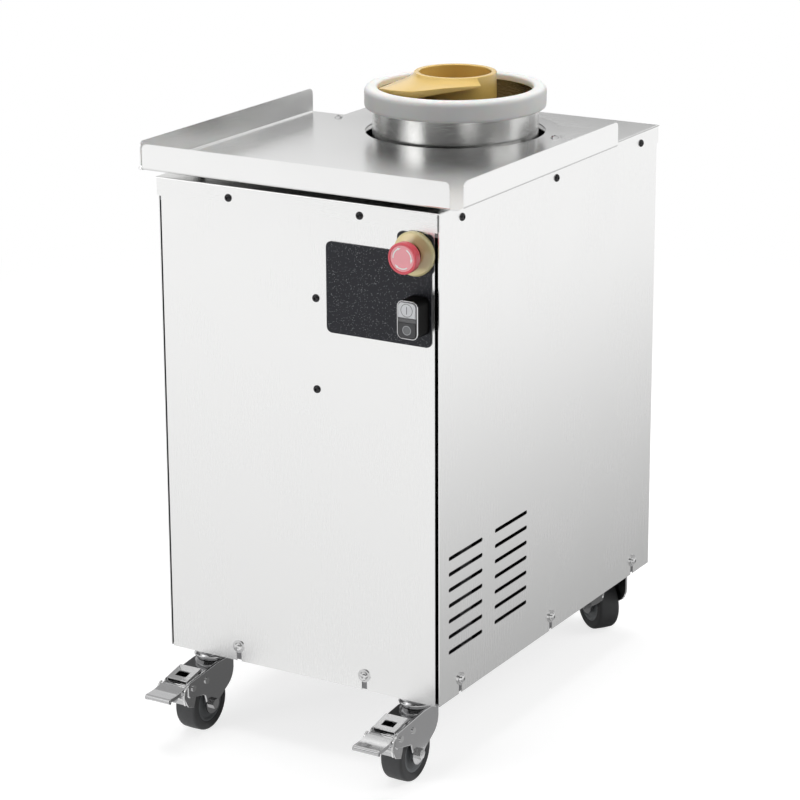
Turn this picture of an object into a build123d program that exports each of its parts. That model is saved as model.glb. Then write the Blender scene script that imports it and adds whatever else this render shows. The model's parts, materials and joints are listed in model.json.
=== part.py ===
import os
from math import cos, exp, radians, sin

from build123d import *

os.makedirs("parts", exist_ok=True)

# Conical dough rounder on castors. +Z is up, the floor is z = 0, the control panel faces -Y.
# All sizes are in millimetres.

# Cabinet: outside of the panels, sheet, lower edge of the panels, top of the cover
cab_w = 430
cab_d = 626
panel_t = 1.5
panel_z = 111
front_gap = 5.5
side_gap = 2
cover_z = 777
cover_t = 2
cover_flange = 25.5
cover_seam = 3
cover_bend = 1.8
panel_play = 1

# Frame inside the cabinet
base_z = 112
base_t = 3
base_flange = 45
base_relief = 10
post_w = 30
post_wall = 2
post_front = 80
rail_leg = 30
rail_t = 3
deck_z = 452
deck_t = 8
deck_margin = 40
deck_lap = 5

# Screws: button heads on the cover, bolts with washers in open slots along the bottom
screw_r = 3
screw_head_r = 5.4
screw_head_h = 3.2
screw_socket_r = 1.9
screw_socket_depth = 1.8
screw_drop = 16
screw_pitch_front = 201
screw_pitch_side = 256
bolt_rise = 21
bolt_washer_r = 9
bolt_washer_t = 1.4
bolt_head_r = 6.2
bolt_head_h = 4.6
slot_r = 4

# Vents low on both side panels
vent_rows = 7
vent_pitch = 21.8
vent_length = 90
vent_width = 5.6
vent_column_pitch = 124
vent_inset = 133
vent_z = 244

# Bowl: turning drum with a rounded rim ring, conical below the cover
bowl_inset = 419
drum_r = 117
drum_wall = 5
drum_base_r = 99
drum_base_z = 600
drum_base_t = 8
drum_cone_z = 770
drum_rim_z = 840
drum_hole_r = 16
drum_screw_pcd = 90
drum_screw_count = 4
ring_r = 128
ring_inner_r = 109.5
ring_z = 820
ring_h = 30
ring_round = 9
ring_lip_round = 5

# Tray: upturned walls on three sides, round tongue behind the bowl
tray_gap = 7
tray_t = 1.5
tray_wall = 35.5
tray_w = 496
tray_front = 6
tray_rear = 14
tray_corner = 13.5
tray_bend = 4
tray_wall_round = 8
tray_hole_r = 127
tray_tongue_r = 150
tongue_blend = 40
cover_hole_r = 130
tray_screw_head_r = 6
tray_spacer_r = 8
tray_screw_x = 189
tray_screw_fore = 8
tray_screw_front = 60
tongue_screw_x = 147
tongue_screw_aft = 20

# Auger: fixed feed tube with a helical flight
auger_clear = 3
tube_r = 58
tube_bore_r = 50.5
tube_rim_z = 869.5
tube_rim_round = 1.5
tube_relief_r = 51.5
tube_relief_z = 680
flight_z = 868
flight_r = 108
flight_tip_r = 68
flight_tip_angle = 331
flight_spread = 118
flight_pitch = 130
flight_ease = 240
flight_ease_rate = 0.02
flight_turn = 828
flight_loft_count = 10
flight_step_count = 5
flight_slope = 0.14
flight_tip_slope = 0.43
flight_tip_ease = 30
flight_shoulder = 3
flight_edge_t = 10
flight_tip_t = 2.8
flight_edge_grow = 0.075
flight_root_t = 14
flight_clear = 2.5
socket_clear = 1
hub_cone_z = 672
hub_skirt_z = 632
window_z = 636
window_h = 42
window_w = 66
window_angle = 220

# Drive: bearings, hollow spindle round a fixed post, belt from a gearmotor
running_fit = 0.05
body_gap = 0.3
post_r = 12
post_square = 17
post_square_z = 625
post_top_z = 655
post_flange_r = 45
post_flange_t = 12
post_pcd = 66
post_bolts = 4
spindle_r = 20
spindle_bore_r = 13.5
spindle_flange_r = 60
spindle_flange_t = 10
spindle_z = 466
bearing_r = 40
bearing_h = 18
bearing_low_z = 478
bearing_high_z = 530
housing_r = 52
housing_flange_r = 80
housing_flange_t = 12
housing_top_z = 552
housing_step = 6
housing_pcd = 136
housing_bolts = 6
housing_clear = 4
pulley_z = 562
pulley_h = 24
driven_r = 90
drive_r = 30
pulley_flange = 6
pulley_hub_r = 35
pulley_web_t = 10
belt_w = 16
belt_t = 5
motor_inset = 140
motor_r = 60
motor_fin = 8
motor_fins = 24
motor_fin_t = 3
motor_low_z = 190
fan_z = 150
fan_r = 70
terminal_reach = 32
terminal_w = 80
terminal_h = 70
gearbox_r = 62
gearbox_flange_r = 80
gearbox_flange_t = 12
gearbox_low_z = 372
gearbox_pcd = 140
gearbox_bolts = 4
shaft_r = 12.5
shaft_low_z = 402
shaft_top_z = 590
deck_bolt_r = 4
deck_bolt_head = 13
deck_bolt_h = 5.3

# Controls on the front panel
plate_inset = 9.5
plate_w = 156.5
plate_low = 600.5
plate_high = 722
plate_t = 1.5
plate_round = 8
neck_r = 11.2
estop_inset = 33
estop_z = 722
estop_tab = 53
estop_disc_r = 29.2
estop_disc_t = 3
estop_collar_r = 14.5
estop_collar_h = 7.5
estop_stem_r = 8
estop_stem_in = 26
estop_button_r = 20.5
estop_travel = 5
estop_button_h = 16
estop_gap = 1
estop_skirt_r = 17.5
estop_dome = 1.5
estop_button_round = 3
estop_block_w = 30
estop_block_h = 38
estop_block_d = 46
switch_inset = 27.5
switch_z = 642.3
switch_w = 30
switch_h = 50
switch_d = 28
switch_round = 8
bezel_w = 1.8
bezel_t = 2
button_d = 10
button_proud = 0.8
button_pocket = 16
button_round = 0.8
lens_h = 5.5
lens_proud = 0.4
switch_block_w = 28
switch_block_h = 44
switch_block_d = 40
box_inset = 183
box_low = 505
box_high = 660
box_w = 140
box_d = 80
box_screw_low = 520
box_screw_high = 643

# Cable inlet on the rear panel
gland_inset = 95
gland_z = 200
gland_reach = 24
gland_r = 10
gland_bore_r = 5
gland_hex = 24
gland_hex_t = 6
gland_nut_t = 5

# Castors
castor_side_inset = 50
castor_front_inset = 26
castor_rear_inset = 36
rear_turn = -125
wheel_r = 40
wheel_w = 32
wheel_round = 9
hub_ring_r = 27
hub_boss_r = 11
hub_recess = 4
axle_r = 4
axle_head = 13
axle_head_h = 5.5
fork_gap = 36
fork_t = 2.5
fork_trail = 28
fork_crown_z = 96
fork_crown_r = 24
fork_boss_r = 15
fork_front = 86
fork_nose = 11
fork_chin = 18
fork_heel = 22
fork_round = 6
fork_heel_round = 28
fork_hood = 48
fork_bend = 2.25
stem_r = 6
stem_cup_r = 24
stem_neck_r = 20
stem_cup_round = 2
stem_head_r = 11
stem_head_h = 5
stem_rise = 14
nut_across = 19
nut_h = 9
lever_pivot_y = -73
lever_pivot_z = 78
lever_pin_r = 3
lever_pin_head = 1.5
rivet_y = -42
lever_w = 34
pedal_w = 40
lever_t = 2
lever_tip = 131
lever_tip_z = 76
lever_step_y = -88
lever_step_z = 86
lever_step = 5
lever_back_y = -50
lever_back_z = 98
lever_window_w = 18
lever_window_l = 12
lever_lip_r = 3.5
shoe_gap = 3
shoe_t = 3
shoe_angle = 21.7
shoe_half = 8
lever_skirt = 14

# Places worked out from the sizes
front_reach = lever_tip - castor_front_inset
front_y = (front_reach - gland_reach - cab_d) / 2
rear_y = front_y + cab_d
mid_y = (front_y + rear_y) / 2
bowl_y = front_y + bowl_inset
motor_y = front_y + motor_inset
rail_top = cover_z - cover_t
panel_top = rail_top - panel_play
screw_z = cover_z - screw_drop
bolt_z = panel_z + bolt_rise
base_top = base_z + base_t
deck_top = deck_z + deck_t
plate_right = cab_w / 2 - plate_inset
estop_x = cab_w / 2 - estop_inset
switch_x = cab_w / 2 - switch_inset
box_x = cab_w / 2 - box_inset
gland_x = cab_w / 2 - gland_inset
castor_x = cab_w / 2 - castor_side_inset

cabinet = Plane((0, mid_y, 0))
bowl = Plane((0, bowl_y, 0))
drive = Plane((0, motor_y, 0))
front_face = Plane((0, front_y, 0), x_dir=(1, 0, 0), z_dir=(0, -1, 0))
right_face = Plane((cab_w / 2, mid_y, 0), x_dir=(0, 1, 0), z_dir=(1, 0, 0))
rear_face = Plane((0, rear_y, 0), x_dir=(-1, 0, 0), z_dir=(0, 1, 0))
left_face = Plane((-cab_w / 2, mid_y, 0), x_dir=(0, -1, 0), z_dir=(-1, 0, 0))

# each cabinet side: its plane, its outside width and the columns of its screws
front_columns = (-screw_pitch_front / 2, screw_pitch_front / 2)
side_columns = (-screw_pitch_side, 0, screw_pitch_side)
sides = (
    (front_face, cab_w, front_columns),
    (right_face, cab_d, side_columns),
    (rear_face, cab_w, front_columns),
    (left_face, cab_d, side_columns),
)


def save(piece, name):
    piece.part.label = name
    export_step(piece.part, f"parts/{name}.step")


def row(columns, height):
    return [(column, height) for column in columns]


def drill(plane, places, radius, depth):
    with BuildSketch(plane) as holes:
        with Locations(*places):
            Circle(radius)
    extrude(holes.sketch, amount=-depth, mode=Mode.SUBTRACT)


def axial(plane, spot):
    # half plane through the axis that stands on a spot of the plane: x is radius, y is height
    foot = plane.from_local_coords((spot[0], spot[1], 0))
    return Plane(foot, x_dir=plane.x_dir, z_dir=-plane.y_dir)


def turn(plane, spot, *points):
    # a piece turned about the axis that stands on a spot of the plane
    half = axial(plane, spot)
    with BuildSketch(half) as profile:
        with BuildLine():
            Polyline(*points, close=True)
        make_face()
    revolve(profile.sketch, axis=Axis(half.origin, half.y_dir))


def washer(plane, spot, radius, low, high, bore_r=screw_r):
    turn(plane, spot, (bore_r, low), (radius, low), (radius, high), (bore_r, high))


def domed_screw(plane, spot, head_r, head_h, shank):
    # button head with a hexagon socket, its shank going inwards
    half = axial(plane, spot)
    crown = ((head_r + screw_socket_r) / 2 + head_h / 5, head_h * 0.7)
    with BuildSketch(half) as profile:
        with BuildLine():
            Polyline(
                (screw_socket_r, head_h),
                (0, head_h),
                (0, -shank),
                (screw_r, -shank),
                (screw_r, 0),
                (head_r, 0),
            )
            ThreePointArc((head_r, 0), crown, (screw_socket_r, head_h))
        make_face()
    revolve(profile.sketch, axis=Axis(half.origin, half.y_dir))
    with BuildSketch(plane.offset(head_h)) as socket:
        with Locations(spot):
            RegularPolygon(screw_socket_r, 6)
    extrude(socket.sketch, amount=-screw_socket_depth, mode=Mode.SUBTRACT)


def hex_bolt(plane, spot, across, head_h, shank_r, shank):
    with BuildSketch(plane) as head:
        with Locations(spot):
            RegularPolygon(across / 2, 6, major_radius=False)
    extrude(head.sketch, amount=head_h)
    with BuildSketch(plane) as stalk:
        with Locations(spot):
            Circle(shank_r)
    extrude(stalk.sketch, amount=-shank)


# Base pan with upturned flanges, open at the corners
stem_spots = [
    (side * castor_x, y)
    for side in (-1, 1)
    for y in (front_y + castor_front_inset, rear_y - castor_rear_inset)
]
with BuildPart() as base_pan:
    with BuildSketch(cabinet.offset(base_z)):
        Rectangle(cab_w - 2 * panel_t, cab_d - 2 * panel_t)
    extrude(amount=base_t)
    fillet(base_pan.faces().sort_by(Axis.Z)[0].outer_wire().edges(), base_t / 2)
    for face, width, columns in sides:
        with BuildSketch(face.offset(-panel_t)):
            with Locations((0, base_z + (base_flange + base_t) / 2)):
                Rectangle(width - 2 * panel_t - 2 * base_relief, base_flange)
        extrude(amount=-base_t)
        drill(face.offset(-panel_t), row(columns, bolt_z), screw_r, base_t)
    drill(Plane.XY.offset(base_top), stem_spots, stem_r, base_t)
save(base_pan, "base_pan")

# Welded frame: four square tube posts with the front pair set back behind the controls,
# an angle rail round the top under the cover and two angle rails that carry the deck
post_inset = panel_t + base_t + post_w / 2
post_pitch = cab_d - post_front - post_inset
frame = Plane((0, front_y + post_front + post_pitch / 2, 0))
rail_w = cab_w - 2 * panel_t
rail_d = cab_d - 2 * panel_t
with BuildPart() as cabinet_frame:
    with BuildSketch(frame.offset(base_top)):
        with GridLocations(cab_w - 2 * post_inset, post_pitch, 2, 2):
            Rectangle(post_w, post_w)
            Rectangle(post_w - 2 * post_wall, post_w - 2 * post_wall, mode=Mode.SUBTRACT)
    extrude(amount=rail_top - rail_t - base_top)
    with BuildSketch(cabinet.offset(rail_top)):
        Rectangle(rail_w, rail_d)
        Rectangle(rail_w - 2 * rail_t, rail_d - 2 * rail_t, mode=Mode.SUBTRACT)
    extrude(amount=-rail_leg)
    with BuildSketch(cabinet.offset(rail_top)):
        Rectangle(rail_w, rail_d)
        Rectangle(rail_w - 2 * rail_leg, rail_d - 2 * rail_leg, mode=Mode.SUBTRACT)
    extrude(amount=-rail_t)
    for face, width, columns in sides:
        drill(face.offset(-panel_t), row(columns, screw_z), screw_r, rail_t)
    for side in (-1, 1):
        corner = side * (cab_w / 2 - panel_t - base_t)
        for leg_w, leg_h in ((rail_t, rail_leg), (rail_leg, rail_t)):
            with BuildSketch(frame.offset(deck_z)):
                with Locations((corner - side * leg_w / 2, 0)):
                    Rectangle(leg_w, post_pitch - post_w)
            extrude(amount=-leg_h)
save(cabinet_frame, "cabinet_frame")

# Deck plate for the bearing housing and the gearmotor
with BuildPart() as deck_plate:
    with BuildSketch(cabinet.offset(deck_z)):
        Rectangle(cab_w - 2 * (panel_t + base_t + deck_lap), cab_d - 2 * deck_margin)
    extrude(amount=deck_t)
    with BuildSketch(frame.offset(deck_z)):
        with GridLocations(cab_w - 2 * post_inset, post_pitch, 2, 2):
            Rectangle(post_w + 2 * body_gap, post_w + 2 * body_gap)
    extrude(amount=deck_t, mode=Mode.SUBTRACT)
    with BuildSketch(bowl.offset(deck_z)):
        Circle(post_r)
        with PolarLocations(housing_pcd / 2, housing_bolts):
            Circle(deck_bolt_r)
        with PolarLocations(post_pcd / 2, post_bolts):
            Circle(deck_bolt_r)
    extrude(amount=deck_t, mode=Mode.SUBTRACT)
    with BuildSketch(drive.offset(deck_z)):
        Circle(2 * shaft_r)
        with PolarLocations(gearbox_pcd / 2, gearbox_bolts):
            Circle(deck_bolt_r)
    extrude(amount=deck_t, mode=Mode.SUBTRACT)
save(deck_plate, "deck_plate")


def panel_sheet(face, width, columns):
    # flat sheet with screw holes along the top and open bolt slots along the bottom edge
    with BuildSketch(face) as outline:
        with Locations((0, (panel_z + panel_top) / 2)):
            Rectangle(width, panel_top - panel_z)
        with Locations(*row(columns, screw_z)):
            Circle(screw_r, mode=Mode.SUBTRACT)
        with Locations(*row(columns, bolt_z)):
            Circle(slot_r, mode=Mode.SUBTRACT)
        with Locations(*row(columns, (bolt_z + panel_z) / 2)):
            Rectangle(2 * slot_r, bolt_z - panel_z, mode=Mode.SUBTRACT)
    extrude(outline.sketch, amount=-panel_t)


control_spots = ((estop_x, estop_z), (switch_x, switch_z))
box_screw_spots = ((box_x, box_screw_low), (box_x, box_screw_high))
with BuildPart() as front_panel:
    panel_sheet(front_face, cab_w - 2 * front_gap, front_columns)
    drill(front_face, control_spots, neck_r, panel_t)
    drill(front_face, box_screw_spots, screw_r, panel_t)
save(front_panel, "front_panel")

# Side panels with two columns of round-ended vent slots near the front
vent_middle = vent_inset - cab_d / 2
for name, face, hand in (("right_panel", right_face, 1), ("left_panel", left_face, -1)):
    with BuildPart() as side_panel:
        panel_sheet(face, cab_d - 2 * side_gap, side_columns)
        with BuildSketch(face):
            with Locations((hand * vent_middle, vent_z)):
                with GridLocations(vent_column_pitch, vent_pitch, 2, vent_rows):
                    SlotOverall(vent_length, vent_width)
        extrude(amount=-panel_t, mode=Mode.SUBTRACT)
    save(side_panel, name)

gland_spot = (-gland_x, gland_z)
with BuildPart() as rear_panel:
    panel_sheet(rear_face, cab_w - 2 * front_gap, front_columns)
    drill(rear_face, (gland_spot,), gland_r, panel_t)
save(rear_panel, "rear_panel")

# Top cover: sheet with a down-turned flange all round, open seams at the corners
tray_screw_spots = (
    (-tray_screw_x, bowl_y - tray_screw_fore),
    (tongue_screw_x, bowl_y + tongue_screw_aft),
    (-tray_screw_x, front_y + tray_screw_front),
    (tray_screw_x, front_y + tray_screw_front),
)
with BuildPart() as top_cover:
    with BuildSketch(cabinet.offset(cover_z)):
        Rectangle(cab_w + 2 * cover_t, cab_d + 2 * cover_t)
    extrude(amount=-cover_t)
    fillet(top_cover.faces().sort_by(Axis.Z)[-1].outer_wire().edges(), cover_bend)
    for face, width, columns in sides:
        with BuildSketch(face):
            with Locations((0, cover_z - (cover_t + cover_flange) / 2)):
                Rectangle(width + 2 * cover_t - 2 * cover_seam, cover_flange - cover_t)
        extrude(amount=cover_t)
        drill(face.offset(cover_t), row(columns, screw_z), screw_r, cover_t)
    drill(bowl.offset(cover_z), ((0, 0),), cover_hole_r, cover_t)
    drill(Plane.XY.offset(cover_z), tray_screw_spots, screw_r, cover_t)
save(top_cover, "top_cover")

with BuildPart() as cover_screws:
    for face, width, columns in sides:
        for spot in row(columns, screw_z):
            domed_screw(face.offset(cover_t), spot, screw_head_r, screw_head_h, cover_t + panel_t + rail_t)
save(cover_screws, "cover_screws")

# Domed bolts with washers, clamping the panels' lower edges to the base pan
with BuildPart() as panel_bolts:
    for face, width, columns in sides:
        for spot in row(columns, bolt_z):
            washer(face, spot, bolt_washer_r, 0, bolt_washer_t)
            shank = bolt_washer_t + panel_t + base_t
            domed_screw(face.offset(bolt_washer_t), spot, bolt_head_r, bolt_head_h, shank)
save(panel_bolts, "panel_bolts")

# Tray: floor with open rounded front corners and a tongue round the bowl
tray_z = cover_z + tray_gap
tray_y = front_y - tray_front
tray_back = bowl_y + tray_rear
tray_depth = tray_back - tray_y
corner_spots = [(side * (tray_w / 2 - tray_corner), tray_y + tray_corner) for side in (-1, 1)]
side_wall = tray_depth - tray_corner
# each wall: middle of its outer face at the floor, direction inwards and length
walls = (
    (Vector(0, tray_y, tray_z), Vector(0, 1, 0), tray_w - 2 * tray_corner),
    (Vector(tray_w / 2, tray_back - side_wall / 2, tray_z), Vector(-1, 0, 0), side_wall),
    (Vector(-tray_w / 2, tray_back - side_wall / 2, tray_z), Vector(1, 0, 0), side_wall),
)
with BuildPart() as tray:
    with BuildSketch(Plane.XY.offset(tray_z)):
        with Locations((0, tray_back - (tray_depth - tray_bend) / 2)):
            Rectangle(tray_w - 2 * tray_bend, tray_depth - tray_bend)
        with Locations(*corner_spots):
            Circle(tray_corner)
        with Locations((0, bowl_y)):
            Circle(tray_tongue_r)
        with Locations((0, bowl_y)):
            Circle(tray_hole_r, mode=Mode.SUBTRACT)
        for foot, inward, length in walls:
            fold = foot + inward * (tray_bend / 2)
            wide = abs(inward.X) * tray_bend + abs(inward.Y) * length
            deep = abs(inward.Y) * tray_bend + abs(inward.X) * length
            with Locations((fold.X, fold.Y)):
                Rectangle(wide, deep, mode=Mode.SUBTRACT)
    extrude(amount=tray_t)
    throats = tray.edges().filter_by(Axis.Z).filter_by_position(Axis.X, -tray_tongue_r, tray_tongue_r)
    fillet(throats.filter_by_position(Axis.Y, tray_back - body_gap, tray_back + body_gap), tongue_blend)
    drill(Plane.XY.offset(tray_z + tray_t), tray_screw_spots, screw_r, tray_t)
save(tray, "tray")

# Three folded walls that carry on from the floor's edges
with BuildPart() as tray_walls:
    for foot, inward, length in walls:
        along = inward.cross(Vector(0, 0, 1))
        with BuildSketch(Plane(foot - along * (length / 2), x_dir=inward, z_dir=along)):
            with BuildLine():
                outside = CenterArc((tray_bend, tray_bend), tray_bend, 180, 90)
                inside = CenterArc((tray_bend, tray_bend), tray_bend - tray_t, 180, 90)
                Line(outside @ 0, inside @ 0)
                Line(outside @ 1, inside @ 1)
            make_face()
        extrude(amount=length)
        with BuildSketch(Plane(foot, x_dir=along, z_dir=-inward)):
            with Locations((0, (tray_bend + tray_wall) / 2)):
                sheet = Rectangle(length, tray_wall - tray_bend)
            fillet(sheet.vertices().group_by(Axis.Y)[-1], tray_wall_round)
        extrude(amount=-tray_t)
save(tray_walls, "tray_walls")

with BuildPart() as tray_spacers:
    for spot in tray_screw_spots:
        washer(Plane.XY, spot, tray_spacer_r, cover_z, tray_z)
save(tray_spacers, "tray_spacers")

with BuildPart() as tray_screws:
    for spot in tray_screw_spots:
        shank = tray_t + tray_gap + cover_t
        domed_screw(Plane.XY.offset(tray_z + tray_t), spot, tray_screw_head_r, screw_head_h, shank)
save(tray_screws, "tray_screws")

# Control plate with a tab behind the emergency stop
with BuildPart() as control_plate:
    with BuildSketch(front_face):
        with Locations((plate_right - plate_w / 2, (plate_low + plate_high) / 2)):
            RectangleRounded(plate_w, plate_high - plate_low, plate_round)
        with Locations(control_spots[0]):
            RectangleRounded(estop_tab, estop_tab, plate_round)
        with Locations(*control_spots):
            Circle(neck_r, mode=Mode.SUBTRACT)
    extrude(amount=plate_t)
save(control_plate, "control_plate")

# Emergency stop: disc, body through the panel, stem that presses in, mushroom that turns to release
with BuildPart() as estop_disc:
    disc_top = plate_t + estop_disc_t
    turn(
        front_face,
        control_spots[0],
        (neck_r, plate_t),
        (estop_disc_r, plate_t),
        (estop_disc_r, disc_top - estop_disc_t / 2),
        (estop_disc_r - estop_disc_t / 2, disc_top),
        (neck_r, disc_top),
    )
save(estop_disc, "estop_disc")

estop_bore_r = estop_stem_r + running_fit
estop_bore_depth = estop_stem_in + 2 * estop_travel
collar_top = disc_top + estop_collar_h
with BuildPart() as estop_body:
    turn(
        front_face,
        control_spots[0],
        (estop_bore_r, collar_top),
        (estop_collar_r, collar_top),
        (estop_collar_r, disc_top),
        (neck_r, disc_top),
        (neck_r, -panel_t),
        (estop_bore_r, -panel_t),
    )
    with BuildSketch(front_face.offset(-panel_t)):
        with Locations(control_spots[0]):
            Rectangle(estop_block_w, estop_block_h)
    extrude(amount=-estop_block_d)
    drill(front_face, control_spots[:1], estop_bore_r, estop_bore_depth)
save(estop_body, "estop_body")

button_back = collar_top + estop_travel + estop_gap
stem_top = button_back + estop_button_h / 2
with BuildPart() as estop_stem:
    turn(
        front_face,
        control_spots[0],
        (0, -estop_stem_in),
        (estop_stem_r, -estop_stem_in),
        (estop_stem_r, stem_top - body_gap),
        (0, stem_top - body_gap),
    )
save(estop_stem, "estop_stem")

button_top = button_back + estop_button_h
with BuildPart() as estop_button:
    with BuildSketch(axial(front_face, control_spots[0])):
        with BuildLine():
            skirt = Polyline(
                (0, button_top),
                (0, stem_top),
                (estop_bore_r, stem_top),
                (estop_bore_r, button_back),
                (estop_skirt_r, button_back),
                (estop_button_r, button_back + estop_button_h / 3),
                (estop_button_r, button_top - estop_dome),
            )
            TangentArc(skirt @ 0, skirt @ 1, tangent=(1, 0))
        make_face()
    revolve(axis=Axis(front_face.from_local_coords((estop_x, estop_z, 0)), front_face.z_dir))
    rims = estop_button.edges().filter_by(GeomType.CIRCLE)
    rims = rims.filter_by(lambda edge: abs(edge.radius - estop_button_r) < body_gap)
    fillet(rims.sort_by(Axis.Y)[0], estop_button_round)
save(estop_button, "estop_button")

# Double push-button: body through the panel, bright bezel, lens bar between two buttons
body_front = plate_t + switch_d
pocket_w = switch_w - 2 * bezel_w
pocket_h = switch_h - 2 * bezel_w
pocket_round = switch_round - bezel_w
button_h = (pocket_h - lens_h) / 2 - 2 * body_gap
button_z = (pocket_h + lens_h) / 4
with BuildPart() as switch_body:
    with BuildSketch(front_face.offset(plate_t)):
        with Locations(control_spots[1]):
            RectangleRounded(switch_w, switch_h, switch_round)
    extrude(amount=switch_d)
    with BuildSketch(front_face.offset(body_front)):
        with Locations(control_spots[1]):
            RectangleRounded(pocket_w, pocket_h, pocket_round)
    extrude(amount=-button_pocket, mode=Mode.SUBTRACT)
    with BuildSketch(front_face.offset(plate_t)):
        with Locations(control_spots[1]):
            Circle(neck_r)
    extrude(amount=-plate_t - panel_t)
    with BuildSketch(front_face.offset(-panel_t)):
        with Locations(control_spots[1]):
            Rectangle(switch_block_w, switch_block_h)
    extrude(amount=-switch_block_d)
save(switch_body, "switch_body")

with BuildPart() as switch_bezel:
    with BuildSketch(front_face.offset(body_front)):
        with Locations(control_spots[1]):
            RectangleRounded(switch_w, switch_h, switch_round)
            RectangleRounded(pocket_w, pocket_h, pocket_round, mode=Mode.SUBTRACT)
    extrude(amount=bezel_t)
save(switch_bezel, "switch_bezel")

with BuildPart() as switch_lens:
    with BuildSketch(front_face.offset(body_front - button_pocket)):
        with Locations(control_spots[1]):
            Rectangle(pocket_w, lens_h)
    extrude(amount=button_pocket + bezel_t + lens_proud)
save(switch_lens, "switch_lens")

for name, height in (("start_button", button_z), ("stop_button", -button_z)):
    with BuildPart() as push_button:
        with BuildSketch(front_face.offset(body_front + bezel_t + button_proud)):
            with Locations(control_spots[1]):
                RectangleRounded(pocket_w - 2 * body_gap, pocket_h - 2 * body_gap, pocket_round - body_gap)
            with Locations((switch_x, switch_z + height)):
                Rectangle(pocket_w, button_h, mode=Mode.INTERSECT)
        extrude(amount=-button_d)
        fillet(push_button.faces().sort_by(Axis.Y)[0].edges(), button_round)
    save(push_button, name)

# Electrical box behind the front panel, held by two screws
with BuildPart() as control_box:
    box_h = box_high - box_low
    with BuildSketch(front_face.offset(-panel_t)):
        with Locations((box_x, box_low + box_h / 2)):
            Rectangle(box_w, box_h)
    extrude(amount=-box_d)
    with BuildSketch(front_face.offset(-2 * panel_t)):
        with Locations((box_x, box_low + box_h / 2)):
            Rectangle(box_w - 2 * panel_t, box_h - 2 * panel_t)
    extrude(amount=2 * panel_t - box_d, mode=Mode.SUBTRACT)
    drill(front_face, box_screw_spots, screw_r, 2 * panel_t)
    drill(Plane.XY.offset(box_low + panel_t), ((box_x, front_y + box_d / 2),), gland_r, panel_t)
save(control_box, "control_box")

with BuildPart() as box_screws:
    for spot in box_screw_spots:
        domed_screw(front_face, spot, screw_head_r, screw_head_h, 2 * panel_t)
save(box_screws, "box_screws")

# Gearmotor hung under the deck: ribbed motor with a fan cowl and a terminal box, reducer, output shaft
with BuildPart() as motor:
    turn(
        drive,
        (0, 0),
        (0, fan_z),
        (fan_r - motor_fin, fan_z),
        (fan_r, fan_z + motor_fin),
        (fan_r, motor_low_z),
        (motor_r, motor_low_z),
        (motor_r, gearbox_low_z - motor_fin),
        (gearbox_r, gearbox_low_z - motor_fin),
        (gearbox_r, gearbox_low_z),
        (0, gearbox_low_z),
    )
    with BuildSketch(drive.offset(motor_low_z)):
        with PolarLocations(motor_r, motor_fins):
            Rectangle(2 * motor_fin, motor_fin_t)
    extrude(amount=gearbox_low_z - motor_fin - motor_low_z)
    with BuildSketch(drive.offset((motor_low_z + gearbox_low_z - terminal_h) / 2)):
        with Locations((-motor_r, 0)):
            Rectangle(2 * terminal_reach, terminal_w)
    extrude(amount=terminal_h)
save(motor, "motor")

with BuildPart() as gearbox:
    turn(
        drive,
        (0, 0),
        (0, gearbox_low_z),
        (gearbox_r, gearbox_low_z),
        (gearbox_r, deck_z - gearbox_flange_t),
        (gearbox_flange_r, deck_z - gearbox_flange_t),
        (gearbox_flange_r, deck_z),
        (shaft_r + running_fit, deck_z),
        (shaft_r + running_fit, shaft_low_z - body_gap),
        (0, shaft_low_z - body_gap),
    )
    with BuildSketch(drive.offset(deck_z)):
        with PolarLocations(gearbox_pcd / 2, gearbox_bolts):
            Circle(deck_bolt_r)
    extrude(amount=-gearbox_flange_t, mode=Mode.SUBTRACT)
save(gearbox, "gearbox")

with BuildPart() as drive_shaft:
    turn(drive, (0, 0), (0, shaft_low_z), (shaft_r, shaft_low_z), (shaft_r, shaft_top_z), (0, shaft_top_z))
save(drive_shaft, "drive_shaft")


def belt_rim(inner_r, rim_r):
    # outline of a flanged belt pulley from its inside edge outwards, bottom to top
    edge_r = rim_r + pulley_flange
    return (
        (inner_r, pulley_z),
        (edge_r, pulley_z),
        (edge_r, belt_z - body_gap),
        (rim_r, belt_z - body_gap),
        (rim_r, belt_z + belt_w + body_gap),
        (edge_r, belt_z + belt_w + body_gap),
        (edge_r, pulley_z + pulley_h),
        (inner_r, pulley_z + pulley_h),
    )


belt_z = pulley_z + (pulley_h - belt_w) / 2
with BuildPart() as drive_pulley:
    turn(drive, (0, 0), *belt_rim(shaft_r, drive_r))
save(drive_pulley, "drive_pulley")

spindle_top = drum_base_z - spindle_flange_t
web_z = pulley_z + (pulley_h - pulley_web_t) / 2
with BuildPart() as driven_pulley:
    turn(
        bowl,
        (0, 0),
        (spindle_r, housing_top_z + housing_clear),
        (pulley_hub_r, housing_top_z + housing_clear),
        (pulley_hub_r, web_z),
        (driven_r - pulley_web_t, web_z),
        *belt_rim(driven_r - pulley_web_t, driven_r),
        (driven_r - pulley_web_t, web_z + pulley_web_t),
        (pulley_hub_r, web_z + pulley_web_t),
        (pulley_hub_r, spindle_top),
        (spindle_r, spindle_top),
    )
save(driven_pulley, "driven_pulley")

# Drive belt round both pulleys
with BuildPart() as drive_belt:
    for thickness, mode in ((belt_t, Mode.ADD), (0, Mode.SUBTRACT)):
        with BuildSketch(Plane.XY.offset(belt_z)):
            with Locations((0, bowl_y)):
                Circle(driven_r + body_gap + thickness)
            with Locations((0, motor_y)):
                Circle(drive_r + body_gap + thickness)
            make_hull()
        extrude(amount=belt_w, mode=mode)
save(drive_belt, "drive_belt")

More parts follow.
